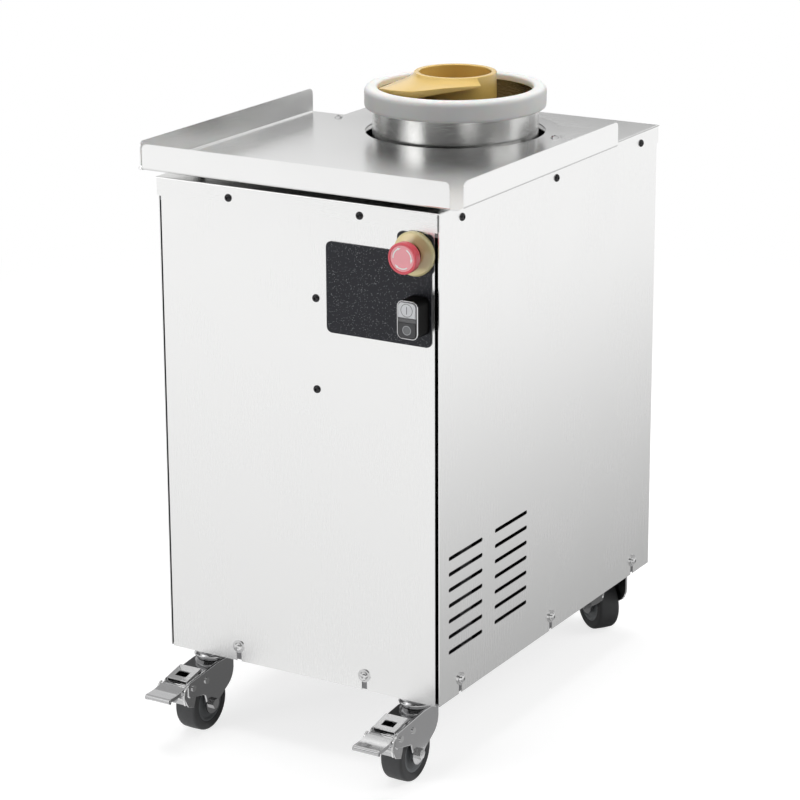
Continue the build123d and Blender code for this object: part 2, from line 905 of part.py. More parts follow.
# Bearing housing on the deck, two bearings, hollow spindle and the fixed post inside it
with BuildPart() as bearing_housing:
    turn(
        bowl,
        (0, 0),
        (bearing_r, deck_top),
        (housing_flange_r, deck_top),
        (housing_flange_r, deck_top + housing_flange_t),
        (housing_r, deck_top + housing_flange_t),
        (housing_r, housing_top_z),
        (bearing_r, housing_top_z),
        (bearing_r, bearing_high_z),
        (bearing_r - housing_step, bearing_high_z),
        (bearing_r - housing_step, bearing_low_z + bearing_h),
        (bearing_r, bearing_low_z + bearing_h),
    )
    with BuildSketch(bowl.offset(deck_top)):
        with PolarLocations(housing_pcd / 2, housing_bolts):
            Circle(deck_bolt_r)
    extrude(amount=housing_flange_t, mode=Mode.SUBTRACT)
save(bearing_housing, "bearing_housing")

with BuildPart() as spindle_bearings:
    for low in (bearing_low_z, bearing_high_z):
        washer(bowl, (0, 0), bearing_r, low, low + bearing_h, spindle_r + running_fit)
save(spindle_bearings, "spindle_bearings")

with BuildPart() as spindle:
    turn(
        bowl,
        (0, 0),
        (spindle_bore_r, spindle_z),
        (spindle_r, spindle_z),
        (spindle_r, spindle_top),
        (spindle_flange_r, spindle_top),
        (spindle_flange_r, drum_base_z),
        (spindle_bore_r, drum_base_z),
    )
    with BuildSketch(bowl.offset(drum_base_z)):
        with PolarLocations(drum_screw_pcd / 2, drum_screw_count):
            Circle(deck_bolt_r)
    extrude(amount=-spindle_flange_t, mode=Mode.SUBTRACT)
save(spindle, "spindle")

with BuildPart() as center_post:
    turn(
        bowl,
        (0, 0),
        (0, deck_z - post_flange_t),
        (post_flange_r, deck_z - post_flange_t),
        (post_flange_r, deck_z),
        (post_r, deck_z),
        (post_r, post_square_z),
        (0, post_square_z),
    )
    with BuildSketch(bowl.offset(post_square_z)):
        Rectangle(post_square, post_square)
    extrude(amount=post_top_z - post_square_z)
    with BuildSketch(bowl.offset(deck_z)):
        with PolarLocations(post_pcd / 2, post_bolts):
            Circle(deck_bolt_r)
    extrude(amount=-post_flange_t, mode=Mode.SUBTRACT)
save(center_post, "center_post")

with BuildPart() as deck_bolts:
    under_deck = Plane((0, bowl_y, deck_z - post_flange_t), x_dir=(1, 0, 0), z_dir=(0, 0, -1))
    patterns = (
        (bowl.offset(deck_top + housing_flange_t), housing_pcd, housing_bolts, housing_flange_t),
        (drive.offset(deck_top), gearbox_pcd, gearbox_bolts, gearbox_flange_t),
        (under_deck, post_pcd, post_bolts, post_flange_t),
    )
    for plane, pcd, count, flange_t in patterns:
        for place in PolarLocations(pcd / 2, count):
            spot = (place.position.X, place.position.Y)
            hex_bolt(plane, spot, deck_bolt_head, deck_bolt_h, deck_bolt_r, flange_t + deck_t)
save(deck_bolts, "deck_bolts")

# Drum: cylinder above the cover, cone below it, flat floor
drum_floor_z = drum_base_z + drum_base_t
with BuildPart() as drum:
    turn(
        bowl,
        (0, 0),
        (drum_hole_r, drum_base_z),
        (drum_base_r, drum_base_z),
        (drum_r, drum_cone_z),
        (drum_r, drum_rim_z),
        (drum_r - drum_wall, drum_rim_z),
        (drum_r - drum_wall, drum_cone_z),
        (drum_base_r - drum_wall, drum_floor_z),
        (drum_hole_r, drum_floor_z),
    )
    sink = deck_bolt_r + drum_base_t / 2
    for place in PolarLocations(drum_screw_pcd / 2, drum_screw_count):
        spot = (place.position.X, place.position.Y)
        with BuildSketch(axial(bowl, spot)):
            with BuildLine():
                Polyline(
                    (0, drum_base_z),
                    (deck_bolt_r, drum_base_z),
                    (deck_bolt_r, drum_floor_z - drum_base_t / 2),
                    (sink, drum_floor_z),
                    (0, drum_floor_z),
                    close=True,
                )
            make_face()
        revolve(axis=Axis(bowl.from_local_coords((spot[0], spot[1], 0)), (0, 0, 1)), mode=Mode.SUBTRACT)
save(drum, "drum")

with BuildPart() as drum_screws:
    for place in PolarLocations(drum_screw_pcd / 2, drum_screw_count):
        turn(
            bowl,
            (place.position.X, place.position.Y),
            (0, spindle_top),
            (deck_bolt_r, spindle_top),
            (deck_bolt_r, drum_floor_z - drum_base_t / 2),
            (sink, drum_floor_z),
            (0, drum_floor_z),
        )
save(drum_screws, "drum_screws")

# Rounded rim ring that sits on the drum's edge, with a skirt round the outside
with BuildPart() as rim_ring:
    turn(
        bowl,
        (0, 0),
        (drum_r, ring_z),
        (ring_r, ring_z),
        (ring_r, ring_z + ring_h),
        (ring_inner_r, ring_z + ring_h),
        (ring_inner_r, drum_rim_z),
        (drum_r, drum_rim_z),
    )
    circles = rim_ring.edges().filter_by(GeomType.CIRCLE).sort_by(Axis.Z)
    fillet(circles.filter_by(lambda edge: edge.radius > drum_r + drum_wall)[-1], ring_round)
    circles = rim_ring.edges().filter_by(GeomType.CIRCLE).sort_by(Axis.Z)
    fillet(circles.filter_by(lambda edge: edge.radius > drum_r + drum_wall)[0], ring_lip_round)
    circles = rim_ring.edges().filter_by(GeomType.CIRCLE).sort_by(Axis.Z)
    fillet(circles.filter_by(lambda edge: edge.radius < drum_r - drum_wall)[-1], ring_lip_round)
save(rim_ring, "rim_ring")

# Auger: feed tube with a window near its lower end; one flight winds up the tube and ends level with the rim
auger_z = drum_floor_z + auger_clear
pitch_rate = flight_pitch / 360


def flight_top(angle):
    # height at the tube, falling slowly near the outlet and then at the full pitch
    eased = min(angle, flight_ease)
    fall = flight_ease_rate * eased + (pitch_rate - flight_ease_rate) * eased**3 / (3 * flight_ease**2)
    return flight_z - fall - pitch_rate * (angle - eased)


def bowl_inner_r(height):
    # inside radius of the drum at a height
    cone = (height - drum_floor_z) / (drum_cone_z - drum_floor_z)
    return drum_base_r + (drum_r - drum_base_r) * min(max(cone, 0), 1) - drum_wall


def flight_outline(angle):
    # radial section of the flight: top that slopes more at the tip, upright edge, root inside the tube wall
    top = flight_top(angle)
    spread = min(angle / flight_spread, 1)
    reach = flight_tip_r + (flight_r - flight_tip_r) * spread
    edge_r = min(reach, bowl_inner_r(top - flight_root_t) - flight_clear)
    slope = flight_slope + flight_tip_slope * exp(-angle / flight_tip_ease)
    shoulder_r = tube_r + flight_shoulder
    edge_z = top - flight_shoulder - slope * (edge_r - shoulder_r)
    edge_t = min(flight_tip_t + flight_edge_grow * angle, flight_edge_t)
    root_r = (tube_r + tube_bore_r) / 2
    low = auger_z + body_gap
    return (
        (root_r, top),
        (shoulder_r, top - flight_shoulder),
        (edge_r, edge_z),
        (edge_r, max(edge_z - edge_t, low)),
        (root_r, max(top - flight_root_t, low)),
    )


with BuildPart() as auger:
    turn(
        bowl,
        (0, 0),
        (tube_relief_r, auger_z),
        (tube_r, auger_z),
        (tube_r, tube_rim_z),
        (tube_bore_r, tube_rim_z),
        (tube_bore_r, tube_relief_z),
        (tube_relief_r, tube_relief_z),
    )
    fillet(auger.faces().sort_by(Axis.Z)[-1].edges(), tube_rim_round)
    with BuildSketch(bowl.offset(window_z)):
        with PolarLocations((tube_r + tube_bore_r) / 2, 1, start_angle=window_angle):
            Rectangle(tube_r - tube_bore_r + window_w / 4, window_w)
    extrude(amount=window_h, mode=Mode.SUBTRACT)
save(auger, "auger")

# Conical hub in the tube's lower end, with a square socket for the fixed post
socket_r = post_r + socket_clear
with BuildPart() as auger_hub:
    turn(
        bowl,
        (0, 0),
        (socket_r, auger_z),
        (tube_relief_r, auger_z),
        (tube_relief_r, hub_skirt_z),
        (post_r, hub_cone_z),
        (0, hub_cone_z),
        (0, post_square_z + body_gap),
        (socket_r, post_square_z + body_gap),
    )
    with BuildSketch(bowl.offset(post_square_z)):
        Rectangle(post_square + 2 * body_gap, post_square + 2 * body_gap)
    extrude(amount=post_top_z + body_gap - post_square_z, mode=Mode.SUBTRACT)
save(auger_hub, "auger_hub")

with BuildPart() as auger_flight:
    flight_step = flight_turn / (flight_loft_count * flight_step_count)
    for stretch in range(flight_loft_count):
        for step in range(flight_step_count + 1):
            angle = flight_step * (stretch * flight_step_count + step)
            heading = radians(flight_tip_angle - angle)
            out = Vector(cos(heading), sin(heading), 0)
            with BuildSketch(Plane((0, bowl_y, 0), x_dir=out, z_dir=out.cross(Vector(0, 0, 1)))):
                with BuildLine():
                    Polyline(*flight_outline(angle), close=True)
                make_face()
        loft()
    with BuildSketch(bowl.offset(auger_z)):
        Circle(tube_r)
    extrude(amount=tube_rim_z - auger_z, mode=Mode.SUBTRACT)
save(auger_flight, "auger_flight")

# Cable inlet low on the rear panel
with BuildPart() as cable_gland:
    turn(
        rear_face,
        gland_spot,
        (gland_bore_r, -panel_t - gland_nut_t),
        (gland_r, -panel_t - gland_nut_t),
        (gland_r, gland_reach - gland_bore_r / 2),
        (gland_r - gland_bore_r / 2, gland_reach),
        (gland_bore_r, gland_reach),
    )
    for low, height in ((-panel_t - gland_nut_t, gland_nut_t), (0, gland_hex_t)):
        with BuildSketch(rear_face.offset(low)):
            with Locations(gland_spot):
                RegularPolygon(gland_hex / 2, 6, major_radius=False)
                Circle(gland_r, mode=Mode.SUBTRACT)
        extrude(amount=height)
save(cable_gland, "cable_gland")

# Castor stems with race cups under the base pan, and their nuts above it
crown_low = fork_crown_z - fork_t
cup_low = fork_crown_z + body_gap
cup_step = (base_z - cup_low) / 3
with BuildPart() as castor_stems:
    for spot in stem_spots:
        turn(
            Plane.XY,
            spot,
            (0, crown_low - body_gap - stem_head_h),
            (stem_head_r, crown_low - body_gap - stem_head_h),
            (stem_head_r, crown_low - body_gap),
            (stem_r, crown_low - body_gap),
            (stem_r, cup_low),
            (stem_neck_r, cup_low),
            (stem_cup_r, cup_low + cup_step),
            (stem_neck_r, cup_low + 2 * cup_step),
            (stem_cup_r, cup_low + 2 * cup_step),
            (stem_cup_r, base_z),
            (stem_r, base_z),
            (stem_r, base_top + stem_rise),
            (0, base_top + stem_rise),
        )
    rims = castor_stems.edges().filter_by(GeomType.CIRCLE)
    rims = rims.filter_by(lambda edge: edge.radius > stem_cup_r - body_gap)
    fillet(rims.filter_by(lambda edge: edge.center().Z < base_z - body_gap), stem_cup_round)
save(castor_stems, "castor_stems")

with BuildPart() as castor_nuts:
    with BuildSketch(Plane.XY.offset(base_top)):
        with Locations(*stem_spots):
            RegularPolygon(nut_across / 2, 6, major_radius=False)
            Circle(stem_r, mode=Mode.SUBTRACT)
    extrude(amount=nut_h)
save(castor_nuts, "castor_nuts")

castors = (
    ("front_left", stem_spots[0], 0, True),
    ("front_right", stem_spots[2], 0, True),
    ("rear_left", stem_spots[1], rear_turn, False),
    ("rear_right", stem_spots[3], rear_turn, False),
)
# seen from the side of a castor: distance back from the stem, height
axle_spot = (-fork_trail, wheel_r)
pivot_spot = (lever_pivot_y, lever_pivot_z)
rivet_spot = (rivet_y, lever_pivot_z)
cheek_out = fork_gap / 2 + fork_t
hub_half = fork_gap / 2 - body_gap
hub_face = wheel_w / 2 - hub_recess


def shoe_point(along, out):
    # a point beside the tyre: distance along the shoe from its middle and outwards from its face
    tilt = radians(shoe_angle)
    reach = wheel_r + shoe_gap + out
    return (
        along * sin(tilt) - reach * cos(tilt) - fork_trail,
        along * cos(tilt) + reach * sin(tilt) + wheel_r,
    )


for place, stem, heading, braked in castors:
    across = Vector(cos(radians(heading)), sin(radians(heading)), 0)
    back = Vector(-sin(radians(heading)), cos(radians(heading)), 0)
    foot = Vector(stem[0], stem[1], 0)
    ground = Plane(foot, x_dir=across, z_dir=(0, 0, 1))
    middle = Plane(foot, x_dir=back, z_dir=across)

    # fork: crown plate and two cheeks; with a brake also a hood and a nose for the lever's pin
    with BuildPart() as fork:
        with BuildSketch(ground.offset(crown_low)):
            with Locations((0, (fork_crown_r - fork_boss_r) / 2)):
                Rectangle(2 * cheek_out, fork_crown_r + fork_boss_r)
            Circle(stem_r + running_fit, mode=Mode.SUBTRACT)
        extrude(amount=fork_t)
        for side in (-1, 1):
            with BuildSketch(middle.offset(side * fork_gap / 2)):
                with BuildLine():
                    boss = CenterArc(axle_spot, fork_boss_r, 160, 200)
                    heel = FilletPolyline(
                        boss @ 1,
                        (fork_crown_r, wheel_r + fork_heel),
                        (fork_crown_r, crown_low),
                        radius=fork_heel_round,
                    )
                    crown = Polyline(heel @ 1, (fork_crown_r, fork_crown_z), (-fork_boss_r, fork_crown_z))
                    if braked:
                        FilletPolyline(
                            crown @ 1,
                            (-fork_front, lever_pivot_z + fork_nose),
                            (-fork_front, lever_pivot_z - fork_nose),
                            (-fork_trail - fork_chin, wheel_r + fork_chin),
                            boss @ 0,
                            radius=fork_round,
                        )
                    else:
                        Line(crown @ 1, boss @ 0)
                make_face()
                with Locations(axle_spot):
                    Circle(axle_r, mode=Mode.SUBTRACT)
                if braked:
                    with Locations(pivot_spot, rivet_spot):
                        Circle(lever_pin_r, mode=Mode.SUBTRACT)
            extrude(amount=side * fork_t)
        if braked:
            nose_z = lever_pivot_z + fork_nose
            hood_drop = (fork_crown_z - nose_z) * (fork_hood - fork_boss_r) / (fork_front - fork_boss_r)
            with BuildSketch(middle.offset(-fork_gap / 2)):
                with BuildLine():
                    Polyline(
                        (-fork_boss_r, crown_low),
                        (-fork_boss_r, fork_crown_z),
                        (-fork_hood, fork_crown_z - hood_drop),
                        (-fork_hood, crown_low - hood_drop),
                        close=True,
                    )
                make_face()
            extrude(amount=fork_gap)
        tops = fork.edges().filter_by(lambda edge: edge.center().Z > lever_pivot_z + fork_nose)
        tops = tops.filter_by(lambda edge: edge.length > fork_boss_r)
        cheek_edge = cheek_out - running_fit
        bends = tops.filter_by(lambda edge: abs(ground.to_local_coords(edge.center()).X) > cheek_edge)
        fillet(bends, fork_bend)
    save(fork, f"fork_{place}")

    # axle bolt with its nut, the lever's pin and the rivets of its spring
    with BuildPart() as axle:
        hex_bolt(middle.offset(cheek_out), axle_spot, axle_head, axle_head_h, axle_r, 2 * cheek_out)
        with BuildSketch(middle.offset(-cheek_out)):
            with Locations(axle_spot):
                RegularPolygon(axle_head / 2, 6, major_radius=False)
        extrude(amount=-axle_head_h)
        if braked:
            pin_end = cheek_out + lever_pin_head
            turn(
                middle,
                pivot_spot,
                (0, -pin_end),
                (lever_pin_r + lever_pin_head, -pin_end),
                (lever_pin_r + lever_pin_head, -cheek_out),
                (lever_pin_r, -cheek_out),
                (lever_pin_r, cheek_out),
                (lever_pin_r + lever_pin_head, cheek_out),
                (lever_pin_r + lever_pin_head, pin_end),
                (0, pin_end),
            )
            for side in (-1, 1):
                turn(
                    middle,
                    rivet_spot,
                    (0, side * fork_gap / 2),
                    (lever_pin_r, side * fork_gap / 2),
                    (lever_pin_r, side * cheek_out),
                    (lever_pin_r + lever_pin_head, side * cheek_out),
                    (lever_pin_r + lever_pin_head, side * pin_end),
                    (0, side * pin_end),
                )
    save(axle, f"axle_{place}")

    # wheel: tyre with rounded shoulders on a hub with recessed sides
    with BuildPart() as wheel:
        turn(
            middle,
            axle_spot,
            (axle_r + running_fit, -hub_half),
            (hub_boss_r, -hub_half),
            (hub_boss_r, -hub_face),
            (hub_ring_r, -hub_face),
            (hub_ring_r, -wheel_w / 2),
            (wheel_r, -wheel_w / 2),
            (wheel_r, wheel_w / 2),
            (hub_ring_r, wheel_w / 2),
            (hub_ring_r, hub_face),
            (hub_boss_r, hub_face),
            (hub_boss_r, hub_half),
            (axle_r + running_fit, hub_half),
        )
        circles = wheel.edges().filter_by(GeomType.CIRCLE)
        fillet(circles.filter_by(lambda edge: edge.radius > wheel_r - body_gap), wheel_round)
    save(wheel, f"wheel_{place}")

    if not braked:
        continue

    # brake lever: stepped pedal with a rolled lip, side flanges on the pin and a shoe before the tyre
    pedal = (
        (lever_back_y, lever_back_z),
        (lever_step_y + lever_step, lever_step_z + lever_step),
        (lever_step_y, lever_step_z),
        (lever_lip_r - lever_tip, lever_tip_z + lever_lip_r),
    )
    with BuildPart() as lever:
        with BuildSketch(middle.offset(-lever_w / 2)):
            with BuildLine():
                Polyline(*pedal, *[(y, z - lever_t) for y, z in reversed(pedal)], close=True)
            make_face()
        extrude(amount=lever_w)
        with BuildSketch(middle.offset(-pedal_w / 2)):
            with BuildLine():
                Polyline(*pedal[2:], *[(y, z - lever_t) for y, z in reversed(pedal[2:])], close=True)
            make_face()
            with Locations((lever_lip_r - lever_tip, lever_tip_z)):
                Circle(lever_lip_r)
        extrude(amount=pedal_w)
        with BuildSketch(middle.offset(-lever_w / 2)):
            with BuildLine():
                Polyline(
                    shoe_point(-shoe_half, 0),
                    shoe_point(shoe_half, 0),
                    shoe_point(shoe_half, shoe_t),
                    shoe_point(-shoe_half, shoe_t),
                    close=True,
                )
            make_face()
        extrude(amount=lever_w)
        for side in (-1, 1):
            with BuildSketch(middle.offset(side * lever_w / 2)):
                with BuildLine():
                    Polyline(
                        shoe_point(-shoe_half, 0),
                        shoe_point(shoe_half, 0),
                        (lever_pivot_y + lever_skirt, lever_pivot_z),
                        (lever_pivot_y + lever_skirt, lever_back_z - lever_t * 1.5),
                        (lever_step_y + lever_step, lever_step_z + lever_step - lever_t / 2),
                        (lever_step_y, lever_step_z - lever_t / 2),
                        (lever_step_y - lever_skirt, lever_step_z - lever_t * 2),
                        shoe_point(-shoe_half, lever_skirt),
                        close=True,
                    )
                make_face()
            extrude(amount=-side * lever_t)
        drill(middle.offset(lever_w / 2), (pivot_spot,), lever_pin_r + running_fit, lever_w)
        with BuildSketch(ground.offset(lever_step_z)):
            with Locations((0, (lever_back_y + lever_step_y) / 2)):
                Rectangle(lever_window_w, lever_window_l)
        extrude(amount=lever_back_z - lever_step_z, mode=Mode.SUBTRACT)
    save(lever, f"brake_lever_{place}")
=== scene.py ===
import json
import math

import bmesh
import bpy
import numpy as np
from mathutils import Matrix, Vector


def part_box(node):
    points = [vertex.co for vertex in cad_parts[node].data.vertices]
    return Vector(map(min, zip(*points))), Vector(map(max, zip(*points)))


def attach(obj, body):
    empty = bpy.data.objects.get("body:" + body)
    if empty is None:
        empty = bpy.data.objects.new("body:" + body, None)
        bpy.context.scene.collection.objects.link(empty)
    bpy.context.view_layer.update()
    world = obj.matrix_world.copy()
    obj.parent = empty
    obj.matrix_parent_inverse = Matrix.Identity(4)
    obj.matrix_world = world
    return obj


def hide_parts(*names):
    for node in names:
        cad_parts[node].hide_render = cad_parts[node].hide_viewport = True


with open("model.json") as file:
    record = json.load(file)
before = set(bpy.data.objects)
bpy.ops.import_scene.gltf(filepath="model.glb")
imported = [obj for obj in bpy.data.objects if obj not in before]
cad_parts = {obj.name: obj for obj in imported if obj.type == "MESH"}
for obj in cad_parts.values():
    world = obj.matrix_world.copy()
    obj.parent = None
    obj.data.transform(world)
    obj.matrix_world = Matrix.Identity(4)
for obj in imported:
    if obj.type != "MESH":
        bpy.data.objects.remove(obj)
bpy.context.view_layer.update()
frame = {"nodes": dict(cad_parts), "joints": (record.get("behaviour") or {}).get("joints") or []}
nodes = frame["nodes"]
joints = {joint["name"]: joint for joint in frame["joints"]}
castorNames = ("front_left", "front_right", "rear_left", "rear_right")
mm = 0.001
turn = 2 * math.pi
upward, forward = (0, 0, 1), (0, -1, 0)
print("frame loaded:", len(nodes), "nodes")


# materials

metalBase = {"metallic": 1.0, "ior": 1.5, "coat": 0.0, "coatRough": 0.2, "dark": 0.94, "bump": 0.15,
             "depth": 0.0002, "grainDetail": 4.0, "cloud": 9, "cloudDetail": 2.0, "grainShare": 0.6, "cloudShare": 0.4}
plasticBase = {"ior": 1.48, "gloss": 0.5, "coat": 0.0, "coatRough": 0.12, "subsurface": 0.0, "subsurfaceScale": 0.004,
               "texture": 1500, "textureDetail": 3.0, "cloud": 25, "cloudDetail": 2.0, "dark": 0.93, "bump": 0.1,
               "depth": 0.0002}


def newMaterial(name):
    mat = bpy.data.materials.new(name)
    mat.use_nodes = True
    return mat, mat.node_tree


def setSockets(node, values):
    # plain values for a node's sockets
    for socketName, value in values.items():
        node.inputs[socketName].default_value = value


def mathNode(tree, operation, *values):
    # a Math node on links or plain numbers
    node = tree.nodes.new("ShaderNodeMath")
    node.operation = operation
    for socket, value in zip(node.inputs, values):
        if isinstance(value, float):
            socket.default_value = value
        else:
            tree.links.new(value, socket)
    return node.outputs["Value"]


def grainNoise(tree, scale, detail):
    # noise on Object coordinates, stretched by a scale for each axis (cycles per metre)
    coords = tree.nodes.new("ShaderNodeTexCoord")
    mapping = tree.nodes.new("ShaderNodeMapping")
    setSockets(mapping, {"Scale": scale})
    tree.links.new(coords.outputs["Object"], mapping.inputs["Vector"])
    noise = tree.nodes.new("ShaderNodeTexNoise")
    setSockets(noise, {"Scale": 1.0, "Detail": detail, "Roughness": 0.6})
    tree.links.new(mapping.outputs["Vector"], noise.inputs["Vector"])
    return noise.outputs["Fac"]


def spread(tree, value, low, high, start=0.25, stop=0.75):
    # remaps a start..stop pattern to a low..high range
    ranger = tree.nodes.new("ShaderNodeMapRange")
    setSockets(ranger, {"From Min": start, "From Max": stop, "To Min": low, "To Max": high})
    tree.links.new(value, ranger.inputs["Value"])
    return ranger.outputs["Result"]


def tintByPattern(tree, shader, pattern, look):
    # the look's colour, a little darker where the pattern is low
    tint = np.array(look["colour"])
    ramp = tree.nodes.new("ShaderNodeValToRGB")
    dark, light = ramp.color_ramp.elements
    dark.position, light.position = 0.3, 0.7
    dark.color, light.color = (*(tint * look["dark"]), 1), (*tint, 1)
    tree.links.new(pattern, ramp.inputs["Fac"])
    tree.links.new(ramp.outputs["Color"], shader.inputs["Base Color"])


def addBump(tree, shader, height, look):
    bump = tree.nodes.new("ShaderNodeBump")
    setSockets(bump, {"Strength": look["bump"], "Distance": look["depth"]})
    tree.links.new(height, bump.inputs["Height"])
    tree.links.new(bump.outputs["Normal"], shader.inputs["Normal"])


def metalFinish(name, ownLook):
    # metal with a fine grain in its colour, roughness and bump, and broad cloudy variation in its gloss
    look = {**metalBase, **ownLook}
    mat, tree = newMaterial(name)
    shader = tree.nodes["Principled BSDF"]
    setSockets(shader, {"Metallic": look["metallic"], "IOR": look["ior"], "Coat Weight": look["coat"],
                        "Coat Roughness": look["coatRough"]})
    grain = grainNoise(tree, look["grain"], look["grainDetail"])
    cloud = grainNoise(tree, (look["cloud"],) * 3, look["cloudDetail"])
    tintByPattern(tree, shader, grain, look)
    mixed = mathNode(tree, "MULTIPLY_ADD", grain, look["grainShare"], spread(tree, cloud, 0.0, look["cloudShare"]))
    tree.links.new(spread(tree, mixed, *look["rough"]), shader.inputs["Roughness"])
    addBump(tree, shader, grain, look)
    return mat


def plasticFinish(name, ownLook):
    # moulded plastic: fine texture in bump and gloss, faint colour mottling
    look = {**plasticBase, **ownLook}
    mat, tree = newMaterial(name)
    shader = tree.nodes["Principled BSDF"]
    setSockets(shader, {"IOR": look["ior"], "Specular IOR Level": look["gloss"], "Coat Weight": look["coat"],
                        "Coat Roughness": look["coatRough"], "Subsurface Weight": look["subsurface"],
                        "Subsurface Scale": look["subsurfaceScale"]})
    fine = grainNoise(tree, (look["texture"],) * 3, look["textureDetail"])
    cloud = grainNoise(tree, (look["cloud"],) * 3, look["cloudDetail"])
    tintByPattern(tree, shader, cloud, look)
    tree.links.new(spread(tree, fine, *look["rough"]), shader.inputs["Roughness"])
    addBump(tree, shader, fine, look)
    return mat


def speckledFinish(name, look):
    # powder-coated plate: dark ground with scattered pale flecks and an orange-peel bump
    mat, tree = newMaterial(name)
    shader = tree.nodes["Principled BSDF"]
    setSockets(shader, {"IOR": look["ior"], "Specular IOR Level": look["gloss"]})
    coords = tree.nodes.new("ShaderNodeTexCoord")
    cells = tree.nodes.new("ShaderNodeTexVoronoi")
    setSockets(cells, {"Scale": look["fleckScale"]})
    tree.links.new(coords.outputs["Object"], cells.inputs["Vector"])
    fleck = spread(tree, cells.outputs["Distance"], 1.0, 0.0, look["fleckCore"], look["fleckSize"])
    picker = tree.nodes.new("ShaderNodeSeparateColor")
    tree.links.new(cells.outputs["Color"], picker.inputs["Color"])
    chosen = mathNode(tree, "GREATER_THAN", picker.outputs["Red"], look["fleckRarity"])
    mixer = tree.nodes.new("ShaderNodeMix")
    mixer.data_type = "RGBA"
    setSockets(mixer, {"A": (*look["colour"], 1), "B": (*look["fleckColour"], 1)})
    tree.links.new(mathNode(tree, "MULTIPLY", fleck, chosen), mixer.inputs["Factor"])
    tree.links.new(mixer.outputs["Result"], shader.inputs["Base Color"])
    peel = grainNoise(tree, (look["peel"],) * 3, look["peelDetail"])
    tree.links.new(spread(tree, peel, *look["rough"]), shader.inputs["Roughness"])
    addBump(tree, shader, peel, look)
    return mat


steelLook = {"colour": (0.92, 0.92, 0.915), "rough": (0.24, 0.29), "dark": 0.99, "bump": 0.012, "depth": 0.0001}
metalLooks = {
    "panelSteel": {**steelLook, "grain": (2600, 2600, 14)},
    "coverSteel": {**steelLook, "grain": (14, 2600, 2600)},
    "traySteel": {**steelLook, "rough": (0.20, 0.26), "grain": (2200, 16, 2200)},
    "drumSteel": {"colour": (0.66, 0.66, 0.65), "grain": (60, 60, 2600), "rough": (0.16, 0.32)},
    # dark bronze for the sheet inside the drum: painted shade and painted reflection of the deep cavity
    "drumPaintedShade": {"colour": (0.085, 0.072, 0.05), "grain": (80, 80, 900), "rough": (0.22, 0.38), "metallic": 0.5,
                 "bump": 0.04},
    # kept dark: painted shade for the frame, base pan and other inner parts seen through gaps and slots
    "shadedInnerSteel": {"colour": (0.24, 0.24, 0.245), "grain": (300, 300, 300), "rough": (0.3, 0.5)},
    "boltSteel": {"colour": (0.70, 0.70, 0.70), "grain": (900, 900, 900), "rough": (0.08, 0.18)},
    "zincPlate": {"colour": (0.56, 0.56, 0.565), "grain": (500, 500, 500), "rough": (0.08, 0.18), "bump": 0.04},
    "chrome": {"colour": (0.70, 0.70, 0.71), "grain": (400, 400, 400), "rough": (0.05, 0.14), "bump": 0.02},
    "blackOxide": {"colour": (0.035, 0.035, 0.037), "grain": (1200, 1200, 1200), "rough": (0.22, 0.4),
                   "metallic": 0.6},
    "castPaint": {"colour": (0.22, 0.24, 0.26), "grain": (700, 700, 700), "rough": (0.4, 0.6), "metallic": 0.0,
                  "bump": 0.4},
    "goldCoat": {"colour": (0.84, 0.57, 0.15), "grain": (900, 900, 900), "rough": (0.34, 0.46), "metallic": 0.2,
                 "coat": 0.9, "dark": 0.92, "bump": 0.12},
}
plasticLooks = {
    "whiteRing": {"colour": (0.80, 0.80, 0.79), "rough": (0.32, 0.48), "subsurface": 0.25, "dark": 0.97},
    "yellowDisc": {"colour": (0.84, 0.73, 0.38), "rough": (0.12, 0.2), "coat": 0.8},
    "redCap": {"colour": (0.76, 0.07, 0.10), "rough": (0.22, 0.35), "coat": 0.4},
    # pale pink: painted highlight for the front face of the red cap
    "redFaceHighlight": {"colour": (0.92, 0.34, 0.38), "rough": (0.2, 0.3), "coat": 0.6},
    "whitePrint": {"colour": (0.88, 0.86, 0.84), "rough": (0.35, 0.5)},
    "blackPlastic": {"colour": (0.005, 0.005, 0.005), "rough": (0.35, 0.5), "gloss": 0.06},
    "greyKey": {"colour": (0.68, 0.69, 0.71), "rough": (0.3, 0.45)},
    "darkKey": {"colour": (0.045, 0.045, 0.048), "rough": (0.3, 0.45)},
    "lensBar": {"colour": (0.10, 0.10, 0.105), "rough": (0.12, 0.2), "coat": 0.4},
    "markGrey": {"colour": (0.10, 0.10, 0.105), "rough": (0.35, 0.5)},
    "markMid": {"colour": (0.16, 0.165, 0.17), "rough": (0.3, 0.45)},
    "markPale": {"colour": (0.36, 0.37, 0.38), "rough": (0.3, 0.45)},
    "tyreRubber": {"colour": (0.055, 0.056, 0.058), "rough": (0.5, 0.72), "texture": 700, "bump": 0.3},
    "hubGrey": {"colour": (0.22, 0.23, 0.24), "rough": (0.4, 0.55), "texture": 900},
    "beltRubber": {"colour": (0.02, 0.02, 0.02), "rough": (0.6, 0.8)},
}
plateLook = {"colour": (0.012, 0.013, 0.018), "ior": 1.5, "gloss": 0.3, "rough": (0.34, 0.5),
             "fleckColour": (0.95, 0.96, 1.0), "fleckScale": 950, "fleckCore": 0.06, "fleckSize": 0.30,
             "fleckRarity": 0.82, "peel": 700, "peelDetail": 3.0, "bump": 0.12, "depth": 0.0003}
finish = {name: metalFinish(name, look) for name, look in metalLooks.items()}
finish.update({name: plasticFinish(name, look) for name, look in plasticLooks.items()})
finish["blackPlate"] = speckledFinish("blackPlate", plateLook)

